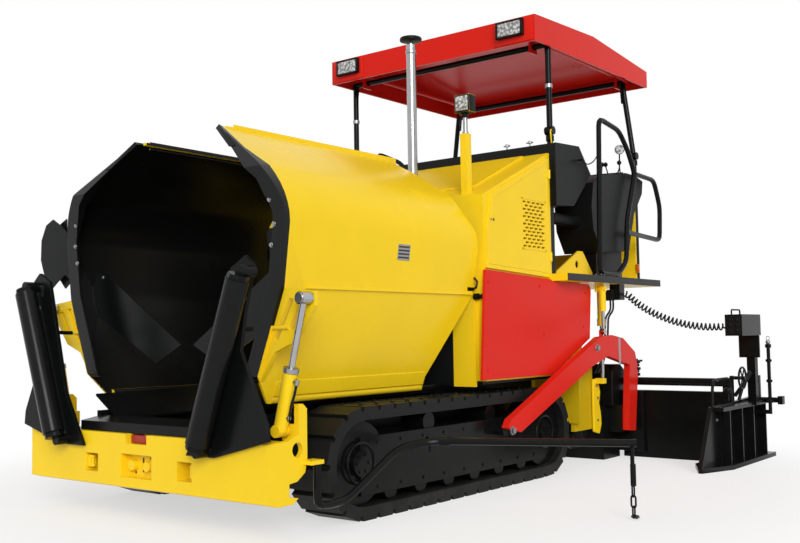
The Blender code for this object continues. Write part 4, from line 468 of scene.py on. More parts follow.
def paint_finish(name, groups, colour, roughness, dust, level, scuffs=0.0, specular=0.5, inner=None,
                 zones=()):
    """Gloss paint with slow shade changes, dust, scuffs, a wing's inner colour and other zones."""
    tree, shader = new_finish(name, colour, roughness, specular=specular)
    base = (*colour, 1.0)
    if inner:
        side, inner_colour = inner
        base = mixed(tree, inside_mask(tree, side), base, (*inner_colour, 1.0))
    for low, high, zone_colour in zones:
        base = mixed(tree, zone_mask(tree, low, high), base, (*zone_colour, 1.0))
    tone = use_group(tree, groups["tone"], Colour=base, Change=0.12)
    powder = use_group(tree, groups["dust"], Amount=dust, Level=level)
    shown = mixed(tree, powder.outputs[0], tone.outputs["Colour"], PAINT_DUST)
    gloss = maths(tree, "ADD", maths(tree, "MULTIPLY", tone.outputs["Patches"], 0.12), roughness - 0.06)
    gloss = maths(tree, "ADD", gloss, maths(tree, "MULTIPLY", powder.outputs[0], 0.45), True)
    if scuffs:
        worn = use_group(tree, groups["scuffs"], Amount=scuffs)
        shown = mixed(tree, worn.outputs[0], shown, SCUFF_COLOUR)
        gloss = maths(tree, "ADD", gloss, maths(tree, "MULTIPLY", worn.outputs[0], 0.2), True)
    shade(tree, shader, shown, gloss)
    soft_edges(tree, shader, tone.outputs["Height"], 0.05)


def zone_mask(tree, low, high):
    """1 inside a box whose X counts the same on both sides of the machine."""
    place = add(tree, "ShaderNodeTexCoord").outputs["Object"]
    spot = add(tree, "ShaderNodeSeparateXYZ", {0: place})
    across = maths(tree, "ABSOLUTE", spot.outputs["X"])
    mask = None
    for value, least, most in zip((across, spot.outputs["Y"], spot.outputs["Z"]), low, high):
        for limit, operation in ((least, "GREATER_THAN"), (most, "LESS_THAN")):
            if limit is not None:
                inside = maths(tree, operation, value, limit)
                mask = inside if mask is None else maths(tree, "MULTIPLY", mask, inside)
    return mask


def inside_mask(tree, side):
    """1 on a wing's inner faces, flap and front rim, 0 on its outer skin and bracket."""
    place = add(tree, "ShaderNodeTexCoord")
    way = add(tree, "ShaderNodeSeparateXYZ", {0: place.outputs["Normal"]})
    spot = add(tree, "ShaderNodeSeparateXYZ", {0: place.outputs["Object"]})
    depth, height = spot.outputs["Y"], spot.outputs["Z"]
    across = maths(tree, "MULTIPLY", spot.outputs["X"], float(side))
    inward = maths(tree, "LESS_THAN", maths(tree, "MULTIPLY", way.outputs["X"], float(side)), INNER_FACING)
    above = maths(tree, "MAXIMUM", maths(tree, "SUBTRACT", height, LEAN_HEIGHT), 0.0)
    rim = maths(tree, "LESS_THAN", maths(
        tree, "SUBTRACT", depth, maths(tree, "MULTIPLY", above, RIM_LEAN)), RIM_PLACE)
    flap = maths(tree, "MULTIPLY", maths(tree, "GREATER_THAN", depth, FLAP_SPAN[0]),
                 maths(tree, "LESS_THAN", depth, FLAP_SPAN[1]))
    flap = maths(tree, "MULTIPLY", flap, maths(tree, "GREATER_THAN", maths(
        tree, "ABSOLUTE", way.outputs["Y"]), 0.5))
    skin = maths(tree, "ADD", maths(tree, "MULTIPLY", height, SKIN_SLOPE), SKIN_FOOT)
    flap = maths(tree, "MULTIPLY", flap, maths(tree, "LESS_THAN", across, skin))
    dark = maths(tree, "MAXIMUM", inward, maths(tree, "MAXIMUM", rim, flap))
    bracket = maths(tree, "MULTIPLY", maths(tree, "GREATER_THAN", across, skin),
                    maths(tree, "LESS_THAN", height, BRACKET_TOP))
    return maths(tree, "MULTIPLY", dark, maths(tree, "SUBTRACT", 1.0, bracket))


def metal_finish(name, groups, colour, roughness, dust=0.15, level=0.5, streak=0.0, metallic=1.0,
                 specular=0.5):
    """Bare, plated or blackened steel with a little dust."""
    tree, shader = new_finish(name, colour, roughness, metallic, specular=specular)
    tone = use_group(tree, groups["tone"], Colour=(*colour, 1.0), Change=0.3, Patch=14.0, Skin=160.0)
    powder = use_group(tree, groups["dust"], Amount=dust, Level=level)
    shown = mixed(tree, powder.outputs[0], tone.outputs["Colour"], METAL_DUST)
    gloss = maths(tree, "ADD", maths(tree, "MULTIPLY", tone.outputs["Patches"], 0.2), roughness - 0.1)
    gloss = maths(tree, "ADD", gloss, maths(tree, "MULTIPLY", powder.outputs[0], 0.5), True)
    if streak:
        worn = use_group(tree, groups["scuffs"], Amount=streak, Stretch=(90.0, 90.0, 6.0))
        gloss = maths(tree, "ADD", gloss, worn.outputs[0], True)
    shade(tree, shader, shown, gloss)
    soft_edges(tree, shader, tone.outputs["Height"], 0.08, 0.002)


def grained_finish(name, groups, colour, roughness, grain, depth, specular=0.4, dust=0.1, level=0.5):
    """Moulded plastic, rubber or vinyl with a leather-like grain."""
    tree, shader = new_finish(name, colour, roughness, specular=specular)
    tone = use_group(tree, groups["tone"], Colour=(*colour, 1.0), Change=0.25, Patch=8.0)
    powder = use_group(tree, groups["dust"], Amount=dust, Level=level)
    shown = mixed(tree, powder.outputs[0], tone.outputs["Colour"], GRAIN_DUST)
    place = add(tree, "ShaderNodeTexCoord").outputs["Object"]
    cells = add(tree, "ShaderNodeTexVoronoi", {"Vector": place, "Scale": grain},
                feature="SMOOTH_F1").outputs["Distance"]
    shade(tree, shader, shown,
          maths(tree, "ADD", maths(tree, "MULTIPLY", cells, 0.15), roughness - 0.05, True))
    soft_edges(tree, shader, cells, depth)


def lens_finish(name, colour, glow, ribs):
    """A ribbed lamp glass over its bright bowl."""
    tree, shader = new_finish(name, colour, 0.12, coat=0.6)
    place = add(tree, "ShaderNodeTexCoord").outputs["Object"]
    cells = add(tree, "ShaderNodeTexVoronoi", {"Vector": place, "Scale": ribs},
                feature="F1").outputs["Distance"]
    bright = tuple(min(1.0, c * 1.5) for c in colour)
    dark = tuple(c * glow for c in colour)
    shown = mixed(tree, maths(tree, "MULTIPLY", cells, 1.4, True), (*bright, 1.0), (*dark, 1.0))
    tree.links.new(shown, shader.inputs["Base Color"])
    bump = add(tree, "ShaderNodeBump", {"Height": cells, "Strength": 0.5, "Distance": 0.003})
    tree.links.new(bump.outputs[0], shader.inputs["Normal"])


def make_finishes(colours):
    """Every paint, metal, rubber, plastic and glass of the machine."""
    groups = {"tone": tone_group(), "dust": dust_group(), "scuffs": scuff_group()}
    yellow, red, black, steel = (tuple(c) for c in (colours.yellow, colours.red, colours.black,
                                                    colours.steel))
    gloss = {"dust": 0.05, "level": 0.5, "specular": 0.2}
    paint_finish("body_yellow", groups, yellow, 0.32, **gloss)
    paint_finish("platform_yellow", groups, yellow, 0.36, **gloss, zones=(
        ((None, 4.125, 1.345), (None, None, None), black), ((None, 3.4, 1.345), (0.2, 4.0, None), black),
        ((1.0485, None, None), (None, None, 1.3405), black),
        ((0.9, 3.5, None), (None, 3.62, 1.2895), black)))
    paint_finish("post_yellow", groups, yellow, 0.32, **gloss,
                 zones=(((None, None, 2.2), (None, None, 2.33), steel),))
    for side, label in SIDES:
        paint_finish("wing_yellow_" + label, groups, yellow, 0.26, dust=0.03, level=0.9,
                     specular=0.18, inner=(side, black))
    paint_finish("signal_red", groups, red, 0.3, dust=0.03, level=0.6, specular=0.12)
    paint_finish("hitch_red", groups, tuple(c * 0.5 for c in red), 0.4, dust=0.3, level=0.8)
    paint_finish("frame_black", groups, black, 0.24, dust=0.02, level=0.6, specular=0.11)
    # Beyond y 3.05 the chassis takes the body yellow at 0.6 of its strength: yellow paint with painted
    # shade
    paint_finish("chassis_black", groups, black, 0.3, dust=0.05, level=0.6, specular=0.11,
                 zones=(((None, 3.05, None), (None, None, None), tuple(c * 0.6 for c in yellow)),))
    paint_finish("hopper_black", groups, black, 0.24, dust=0.02, level=0.7, scuffs=0.03, specular=0.12,
                 zones=(((0.7, 1.835, None), (None, None, None), yellow),))
    metal_finish("conveyor_steel", groups, (0.02, 0.02, 0.021), 0.45, dust=0.06, level=0.9)
    metal_finish("zinc_steel", groups, steel, 0.35, dust=0.1)
    metal_finish("roller_steel", groups, (0.006, 0.0063, 0.0065), 0.22, dust=0.03, metallic=0.0,
                 specular=0.13)
    metal_finish("exhaust_chrome", groups, (0.37, 0.365, 0.37), 0.24, dust=0.0, streak=0.15)
    metal_finish("rod_chrome", groups, (0.42, 0.42, 0.43), 0.12, dust=0.0)
    grained_finish("track_rubber", groups, (0.0065, 0.007, 0.0068), 0.5, 60.0, 0.15, dust=0.1, level=0.45,
                   specular=0.16)
    grained_finish("moulded_black", groups, (0.0055, 0.006, 0.006), 0.4, 500.0, 0.12, specular=0.12,
                   dust=0.03)
    grained_finish("seat_vinyl", groups, (0.012, 0.012, 0.013), 0.5, 260.0, 0.3, specular=0.22)
    grained_finish("cord_rubber", groups, (0.006, 0.006, 0.0065), 0.4, 200.0, 0.1, specular=0.2)
    grained_finish("grille_dark", groups, (0.03, 0.02, 0.008), 0.7, 90.0, 0.1, dust=0.0)
    lens_finish("lamp_glass", (0.62, 0.63, 0.63), 0.25, 55.0)
    lens_finish("amber_glass", (0.75, 0.16, 0.01), 0.6, 120.0)


PLAIN_FINISHES = {
    "push_beam": "body_yellow", "chassis": "chassis_black", "hopper_box": "hopper_black",
    "conveyor": "conveyor_steel", "body_shell": "body_yellow", "engine_block": "conveyor_steel",
    "hood_lid": "body_yellow", "exhaust": "exhaust_chrome", "lamp_post": "post_yellow",
    "platform": "platform_yellow", "dashboard": "moulded_black", "console": "moulded_black",
    "canopy_roof": "signal_red", "roof_posts_front": "frame_black", "roof_posts_rear": "frame_black",
    "screed_body": "frame_black", "guide_bar": "frame_black", "guide_chain": "frame_black",
}
PAIRED_FINISHES = {
    "push_arm": "frame_black", "push_roller": "roller_steel", "wing": "wing_yellow",
    "wing_barrel": "body_yellow", "wing_rod": "rod_chrome", "track": "track_rubber",
    "track_frame": "frame_black", "engine_door": "body_yellow", "side_panel": "signal_red",
    "handrail": "frame_black", "tow_arm": "signal_red", "lift_barrel": "body_yellow",
    "lift_rod": "rod_chrome", "screed_extension": "frame_black", "end_gate": "frame_black",
    "auger": "conveyor_steel", "roof_lamp": "moulded_black",
}
# Curved nodes that show smooth, with the bodies they ride on
SMOOTH_NODES = {
    "exhaust": "tractor", "lamp_post": "tractor", "console": "tractor", "dashboard": "tractor",
    "platform": "tractor", "push_beam": "tractor", "screed_body": "screed",
    "guide_bar": "guide_bar", "guide_chain": "guide_bar", "roof_posts_front": "roof_front",
    "roof_posts_rear": "roof_rear",
}
SMOOTH_PAIRS = {
    "wing": "wing_{}", "push_roller": "push_roller_{}", "push_arm": "push_arm_{}",
    "wing_barrel": "wing_barrel_{}", "wing_rod": "wing_rod_{}", "lift_barrel": "lift_barrel_{}",
    "lift_rod": "lift_rod_{}", "track_frame": "tractor", "handrail": "tractor", "tow_arm": "screed",
    "end_gate": "extension_{}", "screed_extension": "extension_{}", "auger": "auger_{}",
}
SEARCH_TREES = {}
# The wing's front edge as (height, place across), how far its flange narrows at the top, and where it is
FLANGE_EDGE = ((1.5, 0.905), (1.597, 0.889), (1.645, 0.87), (1.693, 0.843), (1.742, 0.808),
               (1.79, 0.765), (1.925, 0.526), (2.2, 0.3))
FLANGE_TAPER = 0.105
FLANGE_BACK = 0.21
FLANGE_WIDTH = 0.04
TAPER_START = 1.65
TAPER_HEIGHT = 0.27
# How much slimmer than its solid the end gate's control box shows, and which points move for it
BOX_TRIM = 0.08
BOX_LOW = 0.89
BOX_OUTER = 1.9


def background_rays(tree):
    """1 for the rays that see the background white: the camera's, reflected and passed on."""
    path = add(tree, "ShaderNodeLightPath")
    seen = maths(tree, "MAXIMUM", path.outputs["Is Camera Ray"], path.outputs["Is Glossy Ray"])
    return maths(tree, "MAXIMUM", seen, path.outputs["Is Transmission Ray"])


def stage_finish():
    """A pale floor that keeps the shadow and fades to white far away."""
    material = bpy.data.materials.new("pale_floor")
    material.use_nodes = True
    tree = material.node_tree
    shader = tree.nodes["Principled BSDF"]
    shader.inputs["Base Color"].default_value = (0.93, 0.93, 0.92, 1.0)
    shader.inputs["Roughness"].default_value = 0.9
    shader.inputs["Specular IOR Level"].default_value = 0.1
    white = add(tree, "ShaderNodeEmission", {"Color": (1, 1, 1, 1), "Strength": 1.0})
    place = add(tree, "ShaderNodeTexCoord").outputs["Object"]
    middle = add(tree, "ShaderNodeVectorMath", {0: place, 1: (0.0, -2.1, 0.0)}, operation="ADD")
    reach = add(tree, "ShaderNodeVectorMath", {0: middle.outputs[0]}, operation="LENGTH")
    fade = add(tree, "ShaderNodeMapRange", {
        "Value": reach.outputs["Value"], "From Min": 2.0, "From Max": 3.8, "To Min": 0.6},
               interpolation_type="SMOOTHSTEP")
    mix = add(tree, "ShaderNodeMixShader", {
        0: maths(tree, "MULTIPLY", background_rays(tree), fade.outputs[0]), 1: shader.outputs[0],
        2: white.outputs[0]})
    tree.links.new(mix.outputs[0], tree.nodes["Material Output"].inputs["Surface"])
    return material


def make_world():
    """A soft even light, and white where the background is seen."""
    world = bpy.data.worlds.new("studio")
    bpy.context.scene.world = world
    world.use_nodes = True
    tree = world.node_tree
    soft = tree.nodes["Background"]
    soft.inputs["Color"].default_value = (1, 1, 1, 1)
    soft.inputs["Strength"].default_value = 0.36
    shown = add(tree, "ShaderNodeBackground", {"Color": (1, 1, 1, 1), "Strength": 1.0})
    mix = add(tree, "ShaderNodeMixShader", {0: background_rays(tree), 1: soft.outputs[0],
                                            2: shown.outputs[0]})
    tree.links.new(mix.outputs[0], tree.nodes["World Output"].inputs["Surface"])


def make_lights():
    """A low soft key from the left front, and a faint light from above."""
    for name, spot, aim, power, size in (
            ("key", (7.5, -5.5, 4.6), (0.0, 1.5, 0.5), 2.35, 0.5),
            ("top", (0.5, -2.0, 9.0), (0.0, 2.0, 1.0), 0.35, 0.6)):
        data = bpy.data.lights.new(name, "SUN")
        data.energy = power
        data.angle = size
        item = add_object(name, data)
        item.rotation_mode = "QUATERNION"
        item.rotation_quaternion = (Vector(aim) - Vector(spot)).to_track_quat("-Z", "Y")
        item.location = spot


def make_camera():
    """The photograph's camera."""
    data = bpy.data.cameras.new("camera")
    data.sensor_width = 36.0
    data.lens = CAMERA_LENS
    item = add_object("camera", data)
    right = Vector(CAMERA_RIGHT)
    up = Vector(CAMERA_UP)
    back = right.cross(up)
    item.matrix_world = Matrix((
        (right.x, up.x, back.x, CAMERA_SPOT[0]), (right.y, up.y, back.y, CAMERA_SPOT[1]),
        (right.z, up.z, back.z, CAMERA_SPOT[2]), (0.0, 0.0, 0.0, 1.0)))
    bpy.context.scene.camera = item


# Shapes that repeat, as node trees


def spread_tree(name, output, sizes, make_shape):
    """A tree that puts one shape on the points of a mesh, turned to face along each normal."""
    inputs = (("Points", "Geometry", None), *((label, "Float", value) for label, value in sizes),
              ("Finish", "Material", None))
    tree, given, out = new_group(name, "GeometryNodeTree", inputs, ((output, "Geometry"),))
    shape = make_shape(tree, given.outputs)
    way = add(tree, "GeometryNodeInputNamedAttribute", {"Name": "way"}, data_type="FLOAT_VECTOR")
    turn = add(tree, "FunctionNodeAlignRotationToVector", {"Vector": way.outputs["Attribute"]}, axis="Z")
    spread = add(tree, "GeometryNodeInstanceOnPoints", {
        "Points": given.outputs["Points"], "Instance": shape, "Rotation": turn.outputs[0]})
    real = add(tree, "GeometryNodeRealizeInstances", {"Geometry": spread.outputs[0]})
    finish = add(tree, "GeometryNodeSetMaterial", {"Geometry": real.outputs[0],
                                                   "Material": given.outputs["Finish"]})
    tree.links.new(finish.outputs[0], out.inputs[0])


def bolt_shape(tree, given):
    """A hexagon head over its washer."""
    radius, height = given["Radius"], given["Height"]
    head = add(tree, "GeometryNodeMeshCylinder", {"Vertices": 6, "Radius": radius, "Depth": height})
    washer = add(tree, "GeometryNodeMeshCylinder", {
        "Vertices": 12, "Radius": maths(tree, "MULTIPLY", radius, 1.35),
        "Depth": maths(tree, "MULTIPLY", height, 0.3)})
    lifted = add(tree, "ShaderNodeCombineXYZ", {"Z": maths(tree, "MULTIPLY", height, 0.6)})
    raised = add(tree, "GeometryNodeTransform", {"Geometry": head.outputs["Mesh"],
                                                 "Translation": lifted.outputs[0]})
    shape = add(tree, "GeometryNodeJoinGeometry")
    tree.links.new(washer.outputs["Mesh"], shape.inputs[0])
    tree.links.new(raised.outputs[0], shape.inputs[0])
    return shape.outputs[0]


def bar_shape(tree, given):
    """A plain bar, for ribs and louvres."""
    size = add(tree, "ShaderNodeCombineXYZ", {"X": given["Length"], "Y": given["Width"],
                                              "Z": given["Depth"]})
    return add(tree, "GeometryNodeMeshCube", {"Size": size.outputs[0]}).outputs["Mesh"]


def spread_over(name, tree_name, spots, values, finish, body):
    """Runs a repeating tree on points with directions and keeps the plain mesh."""
    tree = bpy.data.node_groups[tree_name]
    mesh = bpy.data.meshes.new(name)
    mesh.from_pydata([spot for spot, _ in spots], [], [])
    ways = mesh.attributes.new("way", "FLOAT_VECTOR", "POINT")
    for entry, (_, way) in zip(ways.data, spots):
        entry.vector = way
    item = add_object(name, mesh)
    modifier = item.modifiers.new("repeat", "NODES")
    modifier.node_group = tree
    sockets = {socket.name: socket.identifier for socket in tree.interface.items_tree
               if socket.in_out == "INPUT"}
    for label, value in values.items():
        modifier[sockets[label]] = value
    modifier[sockets["Finish"]] = bpy.data.materials[finish]
    settle(item)
    settled(item, finish, body)


def bolts(name, spots, body, radius, finish="zinc_steel", side=1):
    """Bolts at (point, direction) pairs, given as on the left side."""
    spots = [(mirrored(side, spot), mirrored(side, way)) for spot, way in spots]
    spread_over(name, "hex_bolts", spots, {"Radius": radius, "Height": radius * 0.75}, finish, body)


# Pieces


def node_finishes():
    """Every dressed node of the frame and its finish."""
    finishes = dict(PLAIN_FINISHES)
    for _, label in SIDES:
        finishes.update({stem + "_" + label: finish for stem, finish in PAIRED_FINISHES.items()})
        finishes["wing_" + label] = "wing_yellow_" + label
    return finishes


def dress_frame():
    """Gives every node of the frame its finish."""
    for name, finish in node_finishes().items():
        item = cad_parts[name]
        item.data.materials.clear()
        item.data.materials.append(bpy.data.materials[finish])


def taper_flange(form):
    """Narrows a wing's front flange towards its top."""
    for vert in form.verts:
        across, height = abs(vert.co.x), vert.co.z
        if vert.co.y > FLANGE_BACK or height < TAPER_START:
            continue
        low = max(point for point in FLANGE_EDGE if point[0] <= height)
        high = min(point for point in FLANGE_EDGE if point[0] > height)
        share = (height - low[0]) / (high[0] - low[0])
        if across < low[1] + (high[1] - low[1]) * share - FLANGE_WIDTH:
            reach = FLANGE_TAPER * (height - TAPER_START) / TAPER_HEIGHT
            vert.co.x += math.copysign(reach, vert.co.x)


def slim_box(form):
    """Narrows the control box of an end gate."""
    for vert in form.verts:
        if vert.co.z > BOX_LOW and abs(vert.co.x) > BOX_OUTER:
            vert.co.x -= math.copysign(BOX_TRIM, vert.co.x)


def smooth_copy(node, finish, body):
    """A merged copy of a curved node, shaded smooth, that stands in its place."""
    form = bmesh.new()
    form.from_mesh(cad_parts[node].data)
    bmesh.ops.remove_doubles(form, verts=form.verts, dist=0.00005)
    if finish.startswith("wing_yellow"):
        taper_flange(form)
    if node.startswith("end_gate"):
        slim_box(form)
    mesh = bpy.data.meshes.new(node + "_skin")
    form.to_mesh(mesh)
    form.free()
    if "custom_normal" in mesh.attributes:
        mesh.attributes.remove(mesh.attributes["custom_normal"])
    item = add_object(node + "_skin", mesh)
    settled(item, finish, body)
    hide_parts(node)


def smooth_frame():
    """Shows the curved nodes of the frame smooth."""
    finishes = node_finishes()
    bodies = dict(SMOOTH_NODES)
    for _, label in SIDES:
        bodies.update({stem + "_" + label: body.format(label) for stem, body in SMOOTH_PAIRS.items()})
    for node, body in bodies.items():
        smooth_copy(node, finishes[node], body)


def cord_route():
    """The cord's middle line: out of its gland, down in a long bow, and up into the box."""
    start, reach = Vector(CORD_START), Vector(CORD_REACH)
    return rounded([start + Vector(share) * reach for share in CORD_SHARES], 0.05, 3)


def along(path, count):
    """Points at equal steps along a path."""
    spans = [(after - before).length for before, after in zip(path, path[1:])]
    total = sum(spans)
    points = []
    index = 0
    passed = 0.0
    for step in range(count):
        goal = total * step / (count - 1)
        while index < len(spans) - 1 and passed + spans[index] < goal:
            passed += spans[index]
            index += 1
        points.append(path[index].lerp(path[index + 1], min(1.0, (goal - passed) / spans[index])))
    return points


def make_cord(thickness):
    """The coiled cord from the rail's gland to the control box at the end gate."""
    coil = TURN_RADIUS - thickness / 2
    count = CORD_TURNS * TURN_POINTS + 1
    middle = along(cord_route(), count)
    path = []
    side = None
    for index, point in enumerate(middle):
        way = (middle[min(index + 1, count - 1)] - middle[max(index - 1, 0)]).normalized()
        side = way.orthogonal() if side is None else side - way * side.dot(way)
        side.normalize()
        other = way.cross(side)
        angle = math.tau * index / TURN_POINTS
        ends = min(1.0, index / TURN_POINTS, (count - 1 - index) / TURN_POINTS)
        path.append(point + (side * math.cos(angle) + other * math.sin(angle)) * coil * ends)
    form = Form().tube(path, thickness / 2, 8)
    item = form.piece("coiled_cord", "cord_rubber", "tractor")
    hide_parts("curly_cord")
    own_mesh(item)


def seam_strip(form, outer, corners, width):
    """Thin strips along the sides of a flat outline that faces along X."""
    path = [(outer, *corner) for corner in corners]
    for index, start in enumerate(path):
        form.tube([start, path[(index + 1) % len(path)]], width / 2, 6)


def cushion(form, centre, half, turn, crown, seams):
    """A stuffed block: round edges, a crowned face, and grooves at its seams."""
    bulk = bmesh.new()
    bmesh.ops.create_cube(bulk, size=2.0)
    bmesh.ops.subdivide_edges(bulk, edges=bulk.edges, cuts=27, use_grid_fill=True)
    round_off = half[2] * 0.75
    for vert in bulk.verts:
        share = vert.co.copy()
        spot = Vector([share[axis] * half[axis] for axis in range(3)])
        core = Vector([max(-half[axis] + round_off, min(half[axis] - round_off, spot[axis]))
                       for axis in range(3)])
        away = spot - core
        if away.length > 0:
            spot = core + away.normalized() * round_off
        fall = max(0.0, 1 - share.x ** 2) * max(0.0, 1 - share.y ** 2)
        sink = sum(math.exp(-((share.x - seam) * half[0] / 0.009) ** 2) for seam in seams)
        if share.z > 0:
            spot.z += share.z * (crown * fall ** 0.5 - 0.011 * sink * min(1.0, fall * 4))
        vert.co = Matrix.Rotation(turn, 3, "X") @ spot + Vector(centre)
    bmesh.ops.recalc_face_normals(bulk, faces=bulk.faces)
    held = bpy.data.meshes.new("held")
    bulk.to_mesh(held)
    bulk.free()
    form.mesh.from_mesh(held)
    bpy.data.meshes.remove(held)


def piping(centre, half, turn, rise, radius):
    """The welt round a cushion's upper edge."""
    corners = [(x * half[0] * 0.985, y * half[1] * 0.975, rise)
               for x, y in ((1, 1), (-1, 1), (-1, -1), (1, -1))]
    path = [Matrix.Rotation(turn, 3, "X") @ point + Vector(centre)
            for point in rounded(corners, half[2] * 0.9, 5, True)]
    return Form().tube(path, radius, 8, True)


def make_seat():
    """The operator's seat with its stuffed squab and backrest."""
    parts = (("seat_squab", (0.0, 3.645, 1.7805), (0.235, 0.222, 0.05), 0.0, 0.012),
             ("seat_back", (0.0, 3.905, 2.03), (0.225, 0.185, 0.045), math.radians(82), 0.012))
    for name, centre, half, turn, crown in parts:
        form = Form()
        cushion(form, centre, half, turn, crown, (-0.42, 0.42))
        item = form.piece(name, "seat_vinyl", "tractor")
        if name == "seat_squab":
            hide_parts("seat_cushion")
        piping(centre, half, turn, half[2] * 0.55, 0.0045).piece(name + "_welt", "moulded_black", "tractor")
    shell = Form().block((-0.2, 3.46, 1.7205), (0.2, 3.84, 1.737))
    shell.tube(rounded(((0.0, 3.8, 1.735), (0.0, 3.965, 1.76), (0.0, 3.985, 1.95)), 0.06), 0.022, 10)
    shell.piece("seat_pan", "moulded_black", "tractor", 0.004)


def make_lamps():
    """Glass, housings and clamps of the work lamps, and the rear reflectors."""
    housing = Form().block((0.7125, 1.8915, 2.3325), (0.8275, 1.9685, 2.4475))
    housing.block((0.752, 1.908, 2.305), (0.788, 1.952, 2.336))
    housing.piece("work_lamp_housing", "moulded_black", "tractor", 0.01, 3)
    Form().block((0.724, 1.8885, 2.344), (0.816, 1.893, 2.436)).piece(
        "work_lamp_lens", "lamp_glass", "tractor", 0.002)
    stem = Form().lathe((0.77, 1.93, 2.2), (0, 0, 1),
                        ((0.0, 0.021), (0.012, 0.021), (0.014, 0.0155), (0.1, 0.0155)))
    stem.piece("work_lamp_stem", "zinc_steel", "tractor")
    for side, label in SIDES:
        rim = Form(side)
        for low, high in rim_strips((0.63, 2.968), (0.84, 3.083), 0.014, 0.012):
            rim.block((low[0], 2.5275, low[1]), (high[0], 2.5367, high[1]))
        rim.piece("roof_lamp_rim_" + label, "moulded_black", "roof", 0.002)
        Form(side).block((0.642, 2.5318, 2.978), (0.828, 2.536, 3.073)).piece(
            "roof_lamp_lens_" + label, "lamp_glass", "roof", 0.001)
        Form(side).block((0.6, 2.561, 2.926), (0.905, 2.5705, 3.0985)).piece(
            "roof_lamp_plate_" + label, "signal_red", "roof", 0.003)
        Form(side).block((0.902, 4.088, 1.4), (0.93, 4.102, 1.47)).piece(
            "rear_reflector_" + label, "amber_glass", "tractor", 0.004)


def make_stack():
    """The rain cap and clamp of the exhaust."""
    Form().lathe((*STACK_AXIS, 2.872), (0, 0, 1), (
        (0.0, 0.02), (0.002, 0.062), (0.006, 0.0725), (0.018, 0.0735), (0.026, 0.069), (0.03, 0.05),
        (0.031, 0.004)), 32).piece("exhaust_cap_cover", "moulded_black", "tractor")
    clamps = Form()
    for height in (1.93, 2.79):
        clamps.lathe((*STACK_AXIS, height), (0, 0, 1), collar(0.0365, 0.025, 0.003, 0.004), 28)
    clamps.piece("exhaust_clamps", "zinc_steel", "tractor")


def make_doors():
    """Seams, hinge leaves, grille frames and latches of the engine doors, and the lid's bead."""
    for side, label in SIDES:
        body = "engine_door_" + label
        seam = Form(side)
        seam_strip(seam, DOOR_FACE, ((1.905, 1.372), (2.622, 1.342), (2.622, 2.078), (1.962, 1.786),
                                     (1.905, 1.6)), 0.006)
        seam.piece("door_seam_" + label, "body_yellow", body)
        rim = Form(side)
        for low, high in rim_strips((2.295, 1.482), (2.602, 1.821), 0.01, 0.012):
            rim.block((DOOR_FACE, *low), (DOOR_FACE + 0.0025, *high))
        for low in (1.42, 1.98):
            rim.block((DOOR_FACE - 0.001, 2.606, low + 0.004), (DOOR_FACE + 0.003, 2.656, low + 0.056))
        rim.piece("door_grille_rim_" + label, "body_yellow", body, 0.001, 1)
        latch = Form(side)
        for place in (1.925, 1.957):
            latch.lathe((DOOR_FACE - 0.001, place, 1.646), (1, 0, 0),
                        ((0.0, 0.009), (0.002, 0.009), (0.0024, 0.004)), 14)
        latch.piece("door_latches_" + label, "grille_dark", body)
    bead = Form()
    corners = [(x, y, 1.80 + 0.4444 * (y - 1.87) + 0.002)
               for x, y in ((0.52, 2.6), (0.49, 2.11), (-0.49, 2.11), (-0.52, 2.6))]
    bead.tube(rounded(corners, 0.05), 0.007, 8)
    bead.piece("hood_lid_bead", "body_yellow", "hood_lid")


